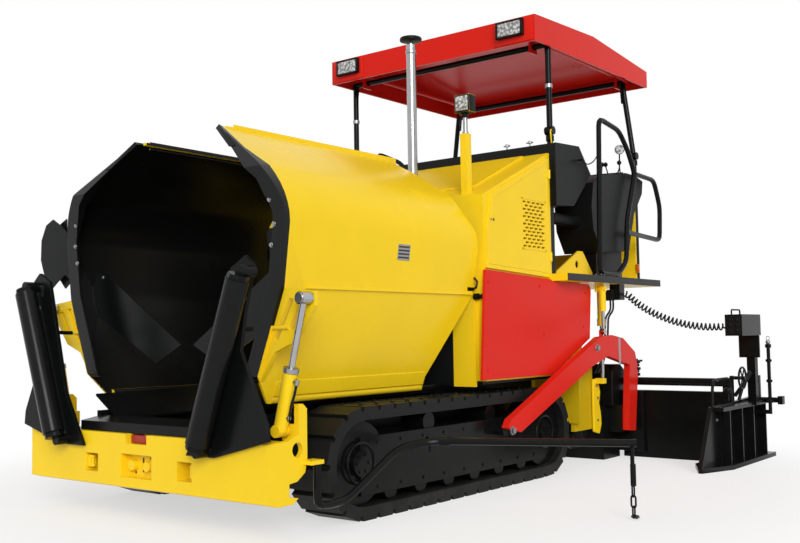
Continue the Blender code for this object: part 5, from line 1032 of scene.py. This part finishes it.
def make_wings():
    """Trim of the hopper wings: flange bolts, lip bars, hem strips, latches and louvres."""
    for side, label in SIDES:
        body = "wing_" + label
        finish = "wing_yellow_" + label
        spots = []
        for x, z in ((0.80, 1.61), (0.82, 1.49), (0.80, 1.39), (0.76, 1.31)):
            spots.append((touch(body, (x, 0.0, z), (0, 1, 0), side), (0, -1, 0)))
        bolts("wing_flange_bolts_" + label, spots, body, 0.009, side=side)
        top = touch(body, (0.347, 1.0, 3.0), (0, 0, -1), side)
        lip = Form(side).prism("y", [(x, top.z + z) for x, z in
                                     ((0.3465, -0.03), (0.3555, -0.034), (0.3565, 0.016), (0.3475, 0.016))],
                               0.36, 1.745)
        lip.piece("wing_lip_bar_" + label, finish, body, 0.0015, 1)
        reach = touch(body, (2.0, 0.9, 0.7), (-1, 0, 0), side).x
        hem = [(reach + SKIN_SLOPE * (z - 0.7) + out, z) for out, z in
               ((-0.004, 0.648), (0.012, 0.648), (0.004, 0.722), (-0.004, 0.726))]
        Form(side).prism("y", hem, 0.32, 1.565).piece("wing_hem_" + label, finish, body, 0.0015, 1)
        peg = touch(body, (2.0, 1.815, 1.225), (-1, 0, 0), side)
        latch = Form(side).block((peg.x - 0.004, 1.775, 1.205), (peg.x + 0.008, 1.835, 1.225))
        latch.tube(rounded(((peg.x, 1.822, 1.215), (peg.x + 0.026, 1.83, 1.222),
                            (peg.x + 0.03, 1.838, 1.26), (peg.x + 0.01, 1.832, 1.285)),
                           0.012), 0.0065, 8)
        latch.piece("wing_latch_" + label, "frame_black", body)
        knob = Form(side).lathe((0.862, 1.858, 1.17), (1, 0, 0),
                                ((0.0, 0.02), (0.03, 0.02), (0.032, 0.012), (0.05, 0.012), (0.052, 0.017),
                                 (0.064, 0.015)), 16)
        knob.piece("wing_latch_peg_" + label, "frame_black", "tractor")
        corners = ((0.494, 0.204, 1.913), (0.54, 0.204, 1.913), (0.352, 0.263, 2.057),
                   (0.328, 0.263, 2.04))
        rim = Form().loft([[mirrored(side, (x, y + shift, z)) for x, y, z in corners]
                           for shift in (-0.007, 0.005)])
        rim.piece("wing_rim_" + label, "frame_black", body)
    # A black block behind the right wing's rear edge: a seal strip, and painted shade that fills the gap
    # there
    seal_and_shade = Form().block((-0.953, 1.854, 1.5), (-0.84, 1.8665, 1.73))
    seal_and_shade.piece("wing_seal_right", "frame_black", "tractor", 0.003, 1)
    low, high = (touch("wing_left", (2.0, 1.12, z), (-1, 0, 0)) for z in (1.355, 1.443))
    plate = [(low.x - 0.006, 1.355), (low.x + 0.0015, 1.355), (high.x + 0.0015, 1.443),
             (high.x - 0.006, 1.443)]
    Form().prism("y", plate, 1.067, 1.175).piece("wing_louvre_plate", "zinc_steel", "wing_left")
    facing = (high - low).cross(Vector((0, -1, 0))).normalized()
    slats = [(low.lerp(high, share) + facing * 0.002, facing) for share in (0.18, 0.4, 0.62, 0.84)]
    spread_over("wing_louvre_slats", "plain_bars", slats,
                {"Length": 0.009, "Width": 0.092, "Depth": 0.004}, "grille_dark", "wing_left")
    fender = ((-0.90, 1.56), (-0.97, 1.62), (-1.06, 1.67), (-1.13, 1.64), (-1.18, 1.55), (-1.185, 1.43),
              (-1.14, 1.32), (-1.07, 1.25), (-1.01, 1.29), (-0.93, 1.33), (-0.88, 1.30), (-0.87, 1.42))
    wing_guard = Form().prism("y", fender, 0.192, 0.203)
    inner = [(x + 0.09 if x < -0.99 else x, z) for x, z in fender]
    wing_guard.prism("y", inner, 0.226, 0.236)
    wing_guard.block((-0.93, 0.2, 1.45), (-0.9, 0.23, 1.47))
    wing_guard.piece("wing_guard_right", "frame_black", "wing_right", 0.002, 1)


def make_beam():
    """What sits in the push beam: the hitch block, pocket hooks, and the centre plate's bolts."""
    Form().block((-0.074, 0.025, 0.406), (0.074, 0.12, 0.449)).piece(
        "hitch_block", "hitch_red", "tractor", 0.006)
    Form().lathe((0.012, 0.06, 0.42), (0, 0, 1), ((0.0, 0.013), (0.05, 0.013), (0.056, 0.009)), 16).piece(
        "hitch_pin", "body_yellow", "tractor")
    for side, label in SIDES:
        hook = Form(side)
        hook.block((0.406, 0.012, 0.262), (0.432, 0.05, 0.326))
        hook.lathe((0.408, 0.03, 0.262), (0, 0, 1), ((0.0, 0.014), (0.012, 0.014), (0.014, 0.008),
                                                     (0.048, 0.008), (0.05, 0.014), (0.062, 0.014)), 14)
        hook.piece("pocket_hook_" + label, "body_yellow", "tractor", 0.002, 1)
    spots = [((x, 0.0505, z), (0, -1, 0)) for x in (-0.105, 0.105) for z in (0.262, 0.33)]
    bolts("centre_plate_bolts", spots, "tractor", 0.008, "body_yellow")
    slots = Form()
    for x, low, high in ((0.0, 0.258, 0.284), (0.0, 0.306, 0.332), (-0.062, 0.248, 0.262),
                         (0.062, 0.326, 0.34)):
        slots.block((x - 0.005, 0.048, low), (x + 0.005, 0.0515, high))
    slots.piece("centre_plate_slots", "grille_dark", "tractor")


def make_arms():
    """Knobs, bolts and stay rods of the push roller arms, and their roller end caps."""
    for side, label in SIDES:
        body = "push_arm_" + label
        top = touch(body, (0.842, -1.0, 1.127), (0, 1, 0), side)
        bolts("push_arm_bolt_" + label, [(top, (0, -1, 0))], body, 0.01, side=side)
        stay = Form(side).tube(rounded(((0.72, 0.0, 0.99), (0.735, 0.07, 0.985),
                                        (0.74, 0.115, 0.985)), 0.02), 0.011, 10)
        stay.lathe((0.815, -0.022, 1.19), (0, 0, 1), ((0.0, 0.011), (0.035, 0.011), (0.037, 0.02),
                                                      (0.058, 0.021), (0.064, 0.014)), 14)
        stay.piece("push_arm_stay_" + label, "frame_black", body)
        high, low = Vector(ROLLER_HIGH), Vector(ROLLER_LOW)
        way = (high - low).normalized()
        cap = Form(side).lathe(high - way * 0.012, way, ((0.0, 0.0505), (0.004, 0.0535), (0.026, 0.0535),
                                                         (0.03, 0.05), (0.034, 0.028)), 8)
        cap.lathe(low - way * 0.022, way,
                  ((0.0, 0.046), (0.004, 0.0525), (0.03, 0.0525), (0.034, 0.05)), 8)
        cap.piece("push_roller_caps_" + label, "frame_black", "push_roller_" + label)


def make_rams():
    """Gland nuts, ports and hoses of the cylinders."""
    for side, label in SIDES:
        foot, head = (Vector((x, RAM_PLACE, z)) for x, z in (RAM_FOOT, RAM_HEAD))
        way = (head - foot).normalized()
        out = Vector((way.z, 0, -way.x))
        ram = Form(side).lathe(foot + way * 0.283, way, ((0.0, 0.0345), (0.003, 0.0385), (0.026, 0.0385),
                                                         (0.029, 0.024)), 20)
        for place, reach in ((0.25, 0.05), (0.075, 0.046)):
            start = foot + way * place
            ram.rod(start + out * 0.03, start + out * reach, 0.0105, 12)
        port = foot + way * 0.25 + out * 0.05
        ram.rod(port - way * 0.012, port + way * 0.014, 0.012, 6)
        ram.piece("wing_ram_fittings_" + label, "zinc_steel", "wing_barrel_" + label)
        run = [foot + way * place + out * reach for place, reach in
               ((0.24, 0.05), (0.19, 0.05), (0.15, 0.042), (0.06, 0.042))]
        hose = Form(side).tube(rounded(run, 0.02), 0.0065, 10)
        hose.piece("wing_ram_hose_" + label, "cord_rubber", "wing_barrel_" + label)
        knuckle = Form(side)
        for y in (0.133, 0.236):
            knuckle.lathe((head.x, y, head.z), (0, 1, 0),
                          ((-0.002, 0.024), (0.0, 0.026), (0.005, 0.026), (0.007, 0.02)), 18)
        knuckle.piece("wing_pin_heads_" + label, "zinc_steel", "wing_" + label)
        axis = (LIFT_ACROSS, LIFT_PLACE)
        lift = Form(side).rod((*axis, 1.289), (*axis, 1.03), 0.027, 18)
        lift.rod((*axis, 1.035), (*axis, 0.985), 0.031, 18)
        lift.piece("aft_cylinder_" + label, "body_yellow", "tractor")
        Form(side).rod((*axis, 0.99), (*axis, 0.60), 0.013, 14).piece(
            "aft_cylinder_rod_" + label, "rod_chrome", "tractor")
        plumbing = Form(side).block((0.93, 3.48, 1.17), (0.99, 3.515, 1.25))
        run = ((0.985, 3.5, 1.175), (0.985, 3.502, 1.1), (0.962, 3.46, 1.05), (0.958, 3.452, 0.9),
               (0.93, 3.43, 0.72), (0.90, 3.39, 0.64))
        for shift in (0.0, 0.022):
            plumbing.tube(rounded([(x - shift, y, z) for x, y, z in run], 0.05), 0.0075, 8)
        plumbing.piece("lift_plumbing_" + label, "cord_rubber", "tractor")


def make_controls():
    """Ribs, mirror, levers and gauges round the operator."""
    ribs = [((0.83, 3.40 + 0.046 * k, 2.0915 + 0.0071 * k), (0, -0.152, 0.988)) for k in range(9)]
    spread_over("console_ribs", "plain_bars", ribs,
                {"Length": 0.27, "Width": bpy.context.scene.paver_fittings.rib, "Depth": 0.016},
                "moulded_black", "tractor")
    mirror = Form().tube(rounded(((0.975, 3.64, 2.12), (1.0, 3.642, 2.16), (1.0, 3.648, 2.275)), 0.03),
                         0.0055, 8)
    mirror.lathe((1.0, 3.655, 2.305), MIRROR_FACING,
                 ((0.0, 0.012), (0.004, 0.03), (0.014, 0.0365), (0.018, 0.0365)), 24)
    mirror.piece("round_mirror", "moulded_black", "tractor")
    glass = Form().lathe((1.0063, 3.637, 2.3068), MIRROR_FACING,
                         ((0.0, 0.0335), (0.001, 0.033), (0.003, 0.02)), 24)
    glass.piece("round_mirror_glass", "lamp_glass", "tractor")
    levers = Form()
    for x, y, z, tilt in ((0.74, 3.86, 2.145, 0.02), (0.80, 3.88, 2.145, -0.02), (0.90, 3.87, 2.145, 0.0)):
        levers.tube([(x, y, z - 0.01), (x + tilt, y - 0.02, z + 0.09)], 0.005, 8)
        levers.lathe((x + tilt, y - 0.02, z + 0.085), (0, 0, 1), ((0.0, 0.008), (0.008, 0.016),
                                                                  (0.022, 0.018), (0.034, 0.008)), 14)
    levers.piece("console_levers", "moulded_black", "tractor")
    gauges, faces = Form(), Form()
    for x in DIAL_PLACES:
        gauges.lathe((x, 3.124, 2.158), DASH_FACING, ((0.0, 0.045), (0.012, 0.045), (0.014, 0.04)), 24)
        faces.lathe((x, 3.134, 2.1675), DASH_FACING, ((0.0, 0.038), (0.0015, 0.038)), 24)
    gauges.piece("dash_gauges", "moulded_black", "tractor")
    faces.piece("dash_gauge_glass", "lamp_glass", "tractor")
    knobs = Form()
    for x in (0.562, 0.748):
        knobs.lathe((x, 2.76, 2.228), (0, 0, 1), ((0.0, 0.006), (0.03, 0.006), (0.032, 0.014),
                                                  (0.046, 0.014), (0.05, 0.008)), 12)
        knobs.rod((x - 0.026, 2.76, 2.266), (x + 0.026, 2.76, 2.266), 0.005, 8)
    knobs.piece("dash_wing_nuts", "zinc_steel", "tractor")
    chain = Form().tube(rounded(((1.02, 3.0, 2.14), (1.022, 3.08, 2.118), (1.024, 3.17, 2.15),
                                 (1.026, 3.265, 2.235)), 0.06), 0.0045, 6)
    chain.rod((0.985, 3.0, 2.145), (1.03, 3.0, 2.145), 0.007, 10)
    chain.piece("rail_tie", "moulded_black", "tractor")


def make_rails():
    """Clamps on the roof posts and feet on the hand rails."""
    for side, label in SIDES:
        x = POST_ACROSS
        band = Form(side).lathe((x, POST_PLACES[0], 2.64), (0, 0, 1),
                                collar(0.0265, 0.03, 0.002, 0.005), 20)
        band.piece("post_ring_" + label, "zinc_steel", "roof_front")
        pin = Form(side).tube(rounded(((x + 0.024, 2.79, 2.345), (x + 0.03, 2.765, 2.33),
                                       (x + 0.03, 2.775, 2.25), (x + 0.024, 2.8, 2.18)), 0.03),
                              0.005, 8)
        pin.piece("post_strap_" + label, "body_yellow", "tractor")
        clamp = Form(side)
        for place in POST_PLACES:
            clamp.lathe((x, place, 2.265), (0, 0, 1), collar(0.0285, 0.043, 0.003, 0.007), 18)
        clamp.piece("post_clamps_" + label, "frame_black", "tractor")
        feet = Form(side)
        for place in (3.232, 3.49):
            feet.block((0.99, place - 0.03, 1.34), (1.049, place + 0.03, 1.348))
        feet.piece("rail_feet_" + label, "frame_black", "tractor", 0.002, 1)
        spots = [((x_place, y_place, 1.348), (0, 0, 1)) for x_place in (1.0, 1.04)
                 for y_place in (3.21, 3.254, 3.468, 3.512)]
        bolts("rail_foot_bolts_" + label, spots, "tractor", 0.006, side=side)


def pad_spots(node, side):
    """Two places on every pad of a track, with the direction that each pad faces."""
    found = []
    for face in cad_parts[node].data.polygons:
        axle = min(max(face.center.y, TRACK_AXLES[0]), TRACK_AXLES[1])
        arm = Vector((0.0, face.center.y - axle, face.center.z - AXLE_HEIGHT))
        if arm.length > PAD_REACH and face.normal.dot(arm.normalized()) > 0.98:
            turn = math.atan2(arm.y, arm.z)
            sign = 1 if arm.z > 0 else -1
            found.append((axle * sign + turn * AXLE_HEIGHT, face.center.y, face.center.z,
                          face.normal.copy()))
    found.sort(key=lambda entry: entry[0])
    groups = []
    for entry in found:
        if groups and abs(entry[0] - groups[-1][-1][0]) < 0.07:
            groups[-1].append(entry)
        else:
            groups.append([entry])
    spots = []
    for group in groups:
        y = sum(entry[1] for entry in group) / len(group)
        z = sum(entry[2] for entry in group) / len(group)
        for x in (0.725, 0.855):
            spots.append(((x, y, z), mirrored(side, group[0][3])))
    return spots


def make_tracks():
    """Pad bolts, hub bolts and frame bolts of the tracks."""
    size = bpy.context.scene.paver_fittings.bolt
    for side, label in SIDES:
        bolts("track_pad_bolts_" + label, pad_spots("track_" + label, side), "tractor", size,
              "roller_steel", side)
        hub = [(spot, (1, 0, 0)) for axle in TRACK_AXLES
               for spot in side_ring((0.9148, axle, AXLE_HEIGHT), 0.048, 6)]
        hub += [((0.9, 0.86 + 0.2 * k, height), (1, 0, 0)) for k in range(9)
                for height in (0.155, 0.385)]
        bolts("track_frame_bolts_" + label, hub, "tractor", 0.009, "roller_steel", side)
        rings = Form(side)
        for axle in TRACK_AXLES:
            rings.tube(side_ring((0.9, axle, AXLE_HEIGHT), 0.105, 32), 0.008, 8, True)
        rings.piece("track_hub_rings_" + label, "frame_black", "tractor")


def make_sides():
    """Bolts of the red panels and tow arms, the arms' straps, and the brackets behind them."""
    for side, label in SIDES:
        outer = max(abs(corner[0]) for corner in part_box("side_panel_" + label))
        spots = [((outer, y, z), (1, 0, 0)) for y, z in
                 ((1.88, 1.26), (1.86, 0.72), (3.14, 1.22), (3.1, 0.98), (2.6, 0.70), (2.5, 1.25))]
        bolts("side_panel_bolts_" + label, spots, "tractor", 0.007, "signal_red", side)
        spots = [((1.025, 3.144, 0.83), (1, 0, 0)), ((1.025, 2.0, 0.352), (1, 0, 0))]
        bolts("tow_arm_bolts_" + label, spots, "screed", 0.02, side=side)
        strap = Form(side).prism("y", ((1.0245, 0.70), (1.0275, 0.70), (1.0275, 0.90),
                                       (1.0245, 0.90)), 3.485, 3.515)
        strap.piece("tow_arm_strap_" + label, "zinc_steel", "screed", 0.001, 1)
        stack = Form(side)
        for low, radius in ((0.607, 0.034), (0.632, 0.028), (0.65, 0.038), (0.676, 0.03), (0.70, 0.036)):
            stack.lathe((1.0, 3.818, low), (0, 0, 1), collar(radius, 0.022, 0.004, 0.004), 12)
        stack.rod((1.0, 3.818, 0.6), (1.0, 3.818, 0.735), 0.02, 12)
        stack.tube([(0.985, 3.83, 0.715), (1.03, 3.872, 0.72)], 0.008, 8)
        stack.piece("screed_spindle_" + label, "frame_black", "screed")
        outline = ((3.56, 0.395), (3.765, 0.395), (3.765, 0.66), (3.70, 0.70), (3.60, 0.70), (3.56, 0.64))
        tower = Form(side).prism("x", outline, 0.62, 0.93)
        tower.block((0.8, 3.795, 0.045), (1.06, 3.824, 0.5))
        tower.piece("screed_tower_" + label, "frame_black", "screed", 0.004, 1)
        outline = ((3.37, 0.60), (3.45, 0.59), (3.475, 0.50), (3.455, 0.42), (3.475, 0.36), (3.485, 0.27),
                   (3.45, 0.20), (3.37, 0.22))
        bracket = Form(side).prism("x", outline, 0.856, 0.874)
        bracket.block((0.87, 3.395, 0.565), (0.942, 3.445, 0.605))
        bracket.piece("auger_bracket_" + label, "body_yellow", "tractor", 0.003, 1)
        bolts("auger_bracket_bolts_" + label,
              [((0.874, y, z), (1, 0, 0)) for y, z in ((3.41, 0.55), (3.42, 0.30), (3.43, 0.46))],
              "tractor", 0.008, side=side)


def make_gates():
    """Fittings of the end gates and their control boxes."""
    for side, label in SIDES:
        body = "extension_" + label
        parts = Form(side)
        parts.block((1.712, 4.033, 0.74), (1.86, 4.05, 0.9))
        parts.rod((1.76, 4.3, 0.42), (1.93, 4.3, 0.42), 0.02, 14)
        parts.block((1.9, 4.272, 0.39), (1.935, 4.328, 0.45))
        wheel = (1.79, 3.86, 0.6)
        parts.tube(side_ring(wheel, 0.075, 24), 0.008, 8, True)
        spokes = side_ring(wheel, 0.075, 6)
        for k in range(3):
            parts.rod(spokes[k + 3], spokes[k], 0.005, 8)
        parts.rod((1.715, 3.86, 0.6), (1.81, 3.86, 0.6), 0.013, 12)
        parts.block((1.704, 3.84, 0.43), (1.722, 3.88, 0.615))
        parts.rod((1.715, 3.91, 0.47), (1.79, 4.06, 0.63), 0.014, 12)
        parts.rod((1.74, 3.70, 0.445), (1.74, 3.70, 0.53), 0.01, 10)
        parts.lathe((1.74, 3.70, 0.5), (0, 0, 1), ((0.0, 0.02), (0.012, 0.026), (0.03, 0.026),
                                                   (0.04, 0.016)), 12)
        parts.tube(rounded(((1.79, 4.02, 0.64), (1.79, 3.97, 0.62), (1.77, 3.93, 0.55),
                            (1.745, 3.90, 0.44)), 0.04), 0.012, 10)
        for height in (0.40, 0.55, 0.70):
            parts.lathe((1.85, 4.26, height), (0, 0, 1), collar(0.022, 0.023, 0.003, 0.008), 12)
        parts.piece("gate_fittings_" + label, "frame_black", body, 0.0015, 1)
        ball = Form(side).lathe((1.85, 4.26, 0.829), (0, 0, 1),
                                ((0.0, 0.008), (0.006, 0.014), (0.014, 0.018), (0.024, 0.018),
                                 (0.034, 0.011), (0.038, 0.004)), 16)
        ball.tube([(1.85 + side * 0.012 * math.cos(math.tau * k / 16), 4.26,
                    0.876 + 0.014 * math.sin(math.tau * k / 16)) for k in range(16)], 0.0025, 6, True)
        ball.piece("crank_ball_" + label, "rod_chrome", body)
        panel = Form(side).block((1.75, 3.6885, 0.912), (1.85, 3.691, 1.038))
        for row in range(3):
            for column in range(2):
                panel.lathe(((1.775 + 0.05 * column), 3.689, 0.937 + 0.038 * row), (0, -1, 0),
                            ((0.0, 0.012), (0.007, 0.012), (0.009, 0.008)), 12)
        panel.tube(rounded(((1.75, 3.80, 1.052), (1.75, 3.80, 1.085), (1.75, 3.97, 1.085),
                            (1.75, 3.97, 1.052)), 0.02), 0.006, 8)
        panel.piece("control_panel_" + label, "moulded_black", body)
        spots = [((GATE_FACE, y, z), (1, 0, 0)) for y, z in
                 ((3.50, 0.33), (3.62, 0.36), (3.96, 0.38), (4.2, 0.38), (3.62, 0.12), (3.9, 0.12),
                  (4.2, 0.12))]
        bolts("gate_bolts_" + label, spots, body, 0.01, side=side)


def make_guide_bar():
    """The guide bar's clamp and the hook at its chain's end."""
    clamp = Form().lathe((*GUIDE_PIVOT, 0.3815), (0.45, 0.9, 0.02),
                         ((-0.018, 0.022), (-0.015, 0.027), (0.015, 0.027), (0.018, 0.022)), 18)
    clamp.rod((*GUIDE_PIVOT, 0.36), (*GUIDE_PIVOT, 0.325), 0.006, 10)
    clamp.piece("guide_bar_clamp", "frame_black", "guide_bar")
    hook = Form().tube(rounded(((2.05, 1.475, 0.028), (2.052, 1.49, 0.009), (2.046, 1.535, 0.0075),
                                (2.03, 1.556, 0.0075), (2.012, 1.548, 0.0075), (2.012, 1.528, 0.0075)),
                               0.012), 0.006, 8)
    hook.lathe((2.05, 1.475, 0.168), (0, 0, 1), collar(0.0145, 0.114, 0.004, 0.0055), 14)
    hook.piece("guide_hook", "frame_black", "guide_bar")


def make_stage():
    """Camera, lights, world and floor."""
    make_camera()
    make_lights()
    make_world()
    floor = Form().lathe((0.0, 2.1, -0.0305), (0, 0, 1), ((0.0, 9.0), (0.03, 9.0)), 64)
    bmesh.ops.recalc_face_normals(floor.mesh, faces=floor.mesh.faces)
    mesh = bpy.data.meshes.new("floor")
    floor.mesh.to_mesh(mesh)
    floor.mesh.free()
    item = add_object("floor", mesh)
    mesh.materials.append(stage_finish())
    bpy.context.scene.view_settings.view_transform = "Standard"


# Operators and panel


class PAVER_OT_stage(bpy.types.Operator):
    """Sets the camera, the soft light and the pale floor"""
    bl_idname = "paver.stage"
    bl_label = "Stage"

    def execute(self, context):
        make_stage()
        return {"FINISHED"}


class PAVER_OT_finishes(bpy.types.Operator):
    """Gives every piece of the frame its paint, metal or rubber"""
    bl_idname = "paver.finishes"
    bl_label = "Finishes"

    def execute(self, context):
        make_finishes(context.scene.paver_colours)
        dress_frame()
        spread_tree("hex_bolts", "Bolts", (("Radius", 0.011), ("Height", 0.008)), bolt_shape)
        spread_tree("plain_bars", "Bars", (("Length", 0.02), ("Width", 0.007), ("Depth", 0.004)), bar_shape)
        return {"FINISHED"}


class PAVER_OT_cord(bpy.types.Operator):
    """Winds the coiled cord of the screed's control box"""
    bl_idname = "paver.cord"
    bl_label = "Coiled cord"

    def execute(self, context):
        make_cord(context.scene.paver_fittings.cord)
        return {"FINISHED"}


class PAVER_OT_smooth(bpy.types.Operator):
    """Shows the frame's curved pieces smooth"""
    bl_idname = "paver.smooth"
    bl_label = "Smooth shapes"

    def execute(self, context):
        smooth_frame()
        return {"FINISHED"}


class PAVER_OT_seat(bpy.types.Operator):
    """Stuffs the operator's seat"""
    bl_idname = "paver.seat"
    bl_label = "Seat"

    def execute(self, context):
        make_seat()
        return {"FINISHED"}


class PAVER_OT_lamps(bpy.types.Operator):
    """Adds lamp glass, housings and reflectors"""
    bl_idname = "paver.lamps"
    bl_label = "Lamps"

    def execute(self, context):
        make_lamps()
        return {"FINISHED"}


class PAVER_OT_stack(bpy.types.Operator):
    """Adds the exhaust's rain cap and clamps"""
    bl_idname = "paver.stack"
    bl_label = "Exhaust"

    def execute(self, context):
        make_stack()
        return {"FINISHED"}


class PAVER_OT_doors(bpy.types.Operator):
    """Adds seams, grille frames, latches and the lid's bead"""
    bl_idname = "paver.doors"
    bl_label = "Doors and lid"

    def execute(self, context):
        make_doors()
        return {"FINISHED"}


class PAVER_OT_wings(bpy.types.Operator):
    """Adds bolts, lip bars, hems, latches and louvres"""
    bl_idname = "paver.wings"
    bl_label = "Hopper wings"

    def execute(self, context):
        make_wings()
        return {"FINISHED"}


class PAVER_OT_beam(bpy.types.Operator):
    """Adds the hitch block, pocket hooks and centre plate"""
    bl_idname = "paver.beam"
    bl_label = "Push beam"

    def execute(self, context):
        make_beam()
        return {"FINISHED"}


class PAVER_OT_arms(bpy.types.Operator):
    """Adds knobs, bolts, stays and roller caps"""
    bl_idname = "paver.arms"
    bl_label = "Push arms"

    def execute(self, context):
        make_arms()
        return {"FINISHED"}


class PAVER_OT_rams(bpy.types.Operator):
    """Adds gland nuts, ports and hoses"""
    bl_idname = "paver.rams"
    bl_label = "Cylinders"

    def execute(self, context):
        make_rams()
        return {"FINISHED"}


class PAVER_OT_controls(bpy.types.Operator):
    """Adds console ribs, mirror, levers and gauges"""
    bl_idname = "paver.controls"
    bl_label = "Controls"

    def execute(self, context):
        make_controls()
        return {"FINISHED"}


class PAVER_OT_rails(bpy.types.Operator):
    """Adds clamps, straps and feet"""
    bl_idname = "paver.rails"
    bl_label = "Rails and posts"

    def execute(self, context):
        make_rails()
        return {"FINISHED"}


class PAVER_OT_tracks(bpy.types.Operator):
    """Adds pad bolts, hub bolts and rings"""
    bl_idname = "paver.tracks"
    bl_label = "Tracks"

    def execute(self, context):
        make_tracks()
        return {"FINISHED"}


class PAVER_OT_sides(bpy.types.Operator):
    """Adds the fittings of panels, tow arms and auger brackets"""
    bl_idname = "paver.sides"
    bl_label = "Sides"

    def execute(self, context):
        make_sides()
        return {"FINISHED"}


class PAVER_OT_gates(bpy.types.Operator):
    """Adds the fittings of the end gates and control boxes"""
    bl_idname = "paver.gates"
    bl_label = "End gates"

    def execute(self, context):
        make_gates()
        return {"FINISHED"}


class PAVER_OT_guide_bar(bpy.types.Operator):
    """Adds the guide bar's clamp and hook"""
    bl_idname = "paver.guide_bar"
    bl_label = "Guide bar"

    def execute(self, context):
        make_guide_bar()
        return {"FINISHED"}


STEPS = (PAVER_OT_stage, PAVER_OT_finishes, PAVER_OT_cord, PAVER_OT_smooth, PAVER_OT_seat,
         PAVER_OT_lamps, PAVER_OT_stack, PAVER_OT_doors, PAVER_OT_wings, PAVER_OT_beam,
         PAVER_OT_arms, PAVER_OT_rams, PAVER_OT_controls, PAVER_OT_rails, PAVER_OT_tracks,
         PAVER_OT_sides, PAVER_OT_gates, PAVER_OT_guide_bar)


class PAVER_PT_panel(bpy.types.Panel):
    """Lists the steps in their order"""
    bl_idname = "PAVER_PT_panel"
    bl_label = "Asphalt paver"
    bl_space_type = "VIEW_3D"
    bl_region_type = "UI"
    bl_category = "Paver"

    def draw(self, context):
        for key in ("yellow", "red", "black", "steel"):
            self.layout.prop(context.scene.paver_colours, key)
        for key in ("bolt", "rib", "cord"):
            self.layout.prop(context.scene.paver_fittings, key)
        for step in STEPS:
            self.layout.operator(step.bl_idname)


CLASSES = (PaintColours, FittingSizes, *STEPS, PAVER_PT_panel)


def register():
    """Adds the settings, the steps and the panel."""
    for kind in CLASSES:
        bpy.utils.register_class(kind)
    bpy.types.Scene.paver_colours = bpy.props.PointerProperty(type=PaintColours)
    bpy.types.Scene.paver_fittings = bpy.props.PointerProperty(type=FittingSizes)


def unregister():
    """Takes them away again."""
    del bpy.types.Scene.paver_fittings
    del bpy.types.Scene.paver_colours
    for kind in reversed(CLASSES):
        bpy.utils.unregister_class(kind)


def main():
    """Runs every step in order."""
    register()
    for step in STEPS:
        group, name = step.bl_idname.split(".")
        getattr(getattr(bpy.ops, group), name)()


if __name__ == "__main__":
    main()
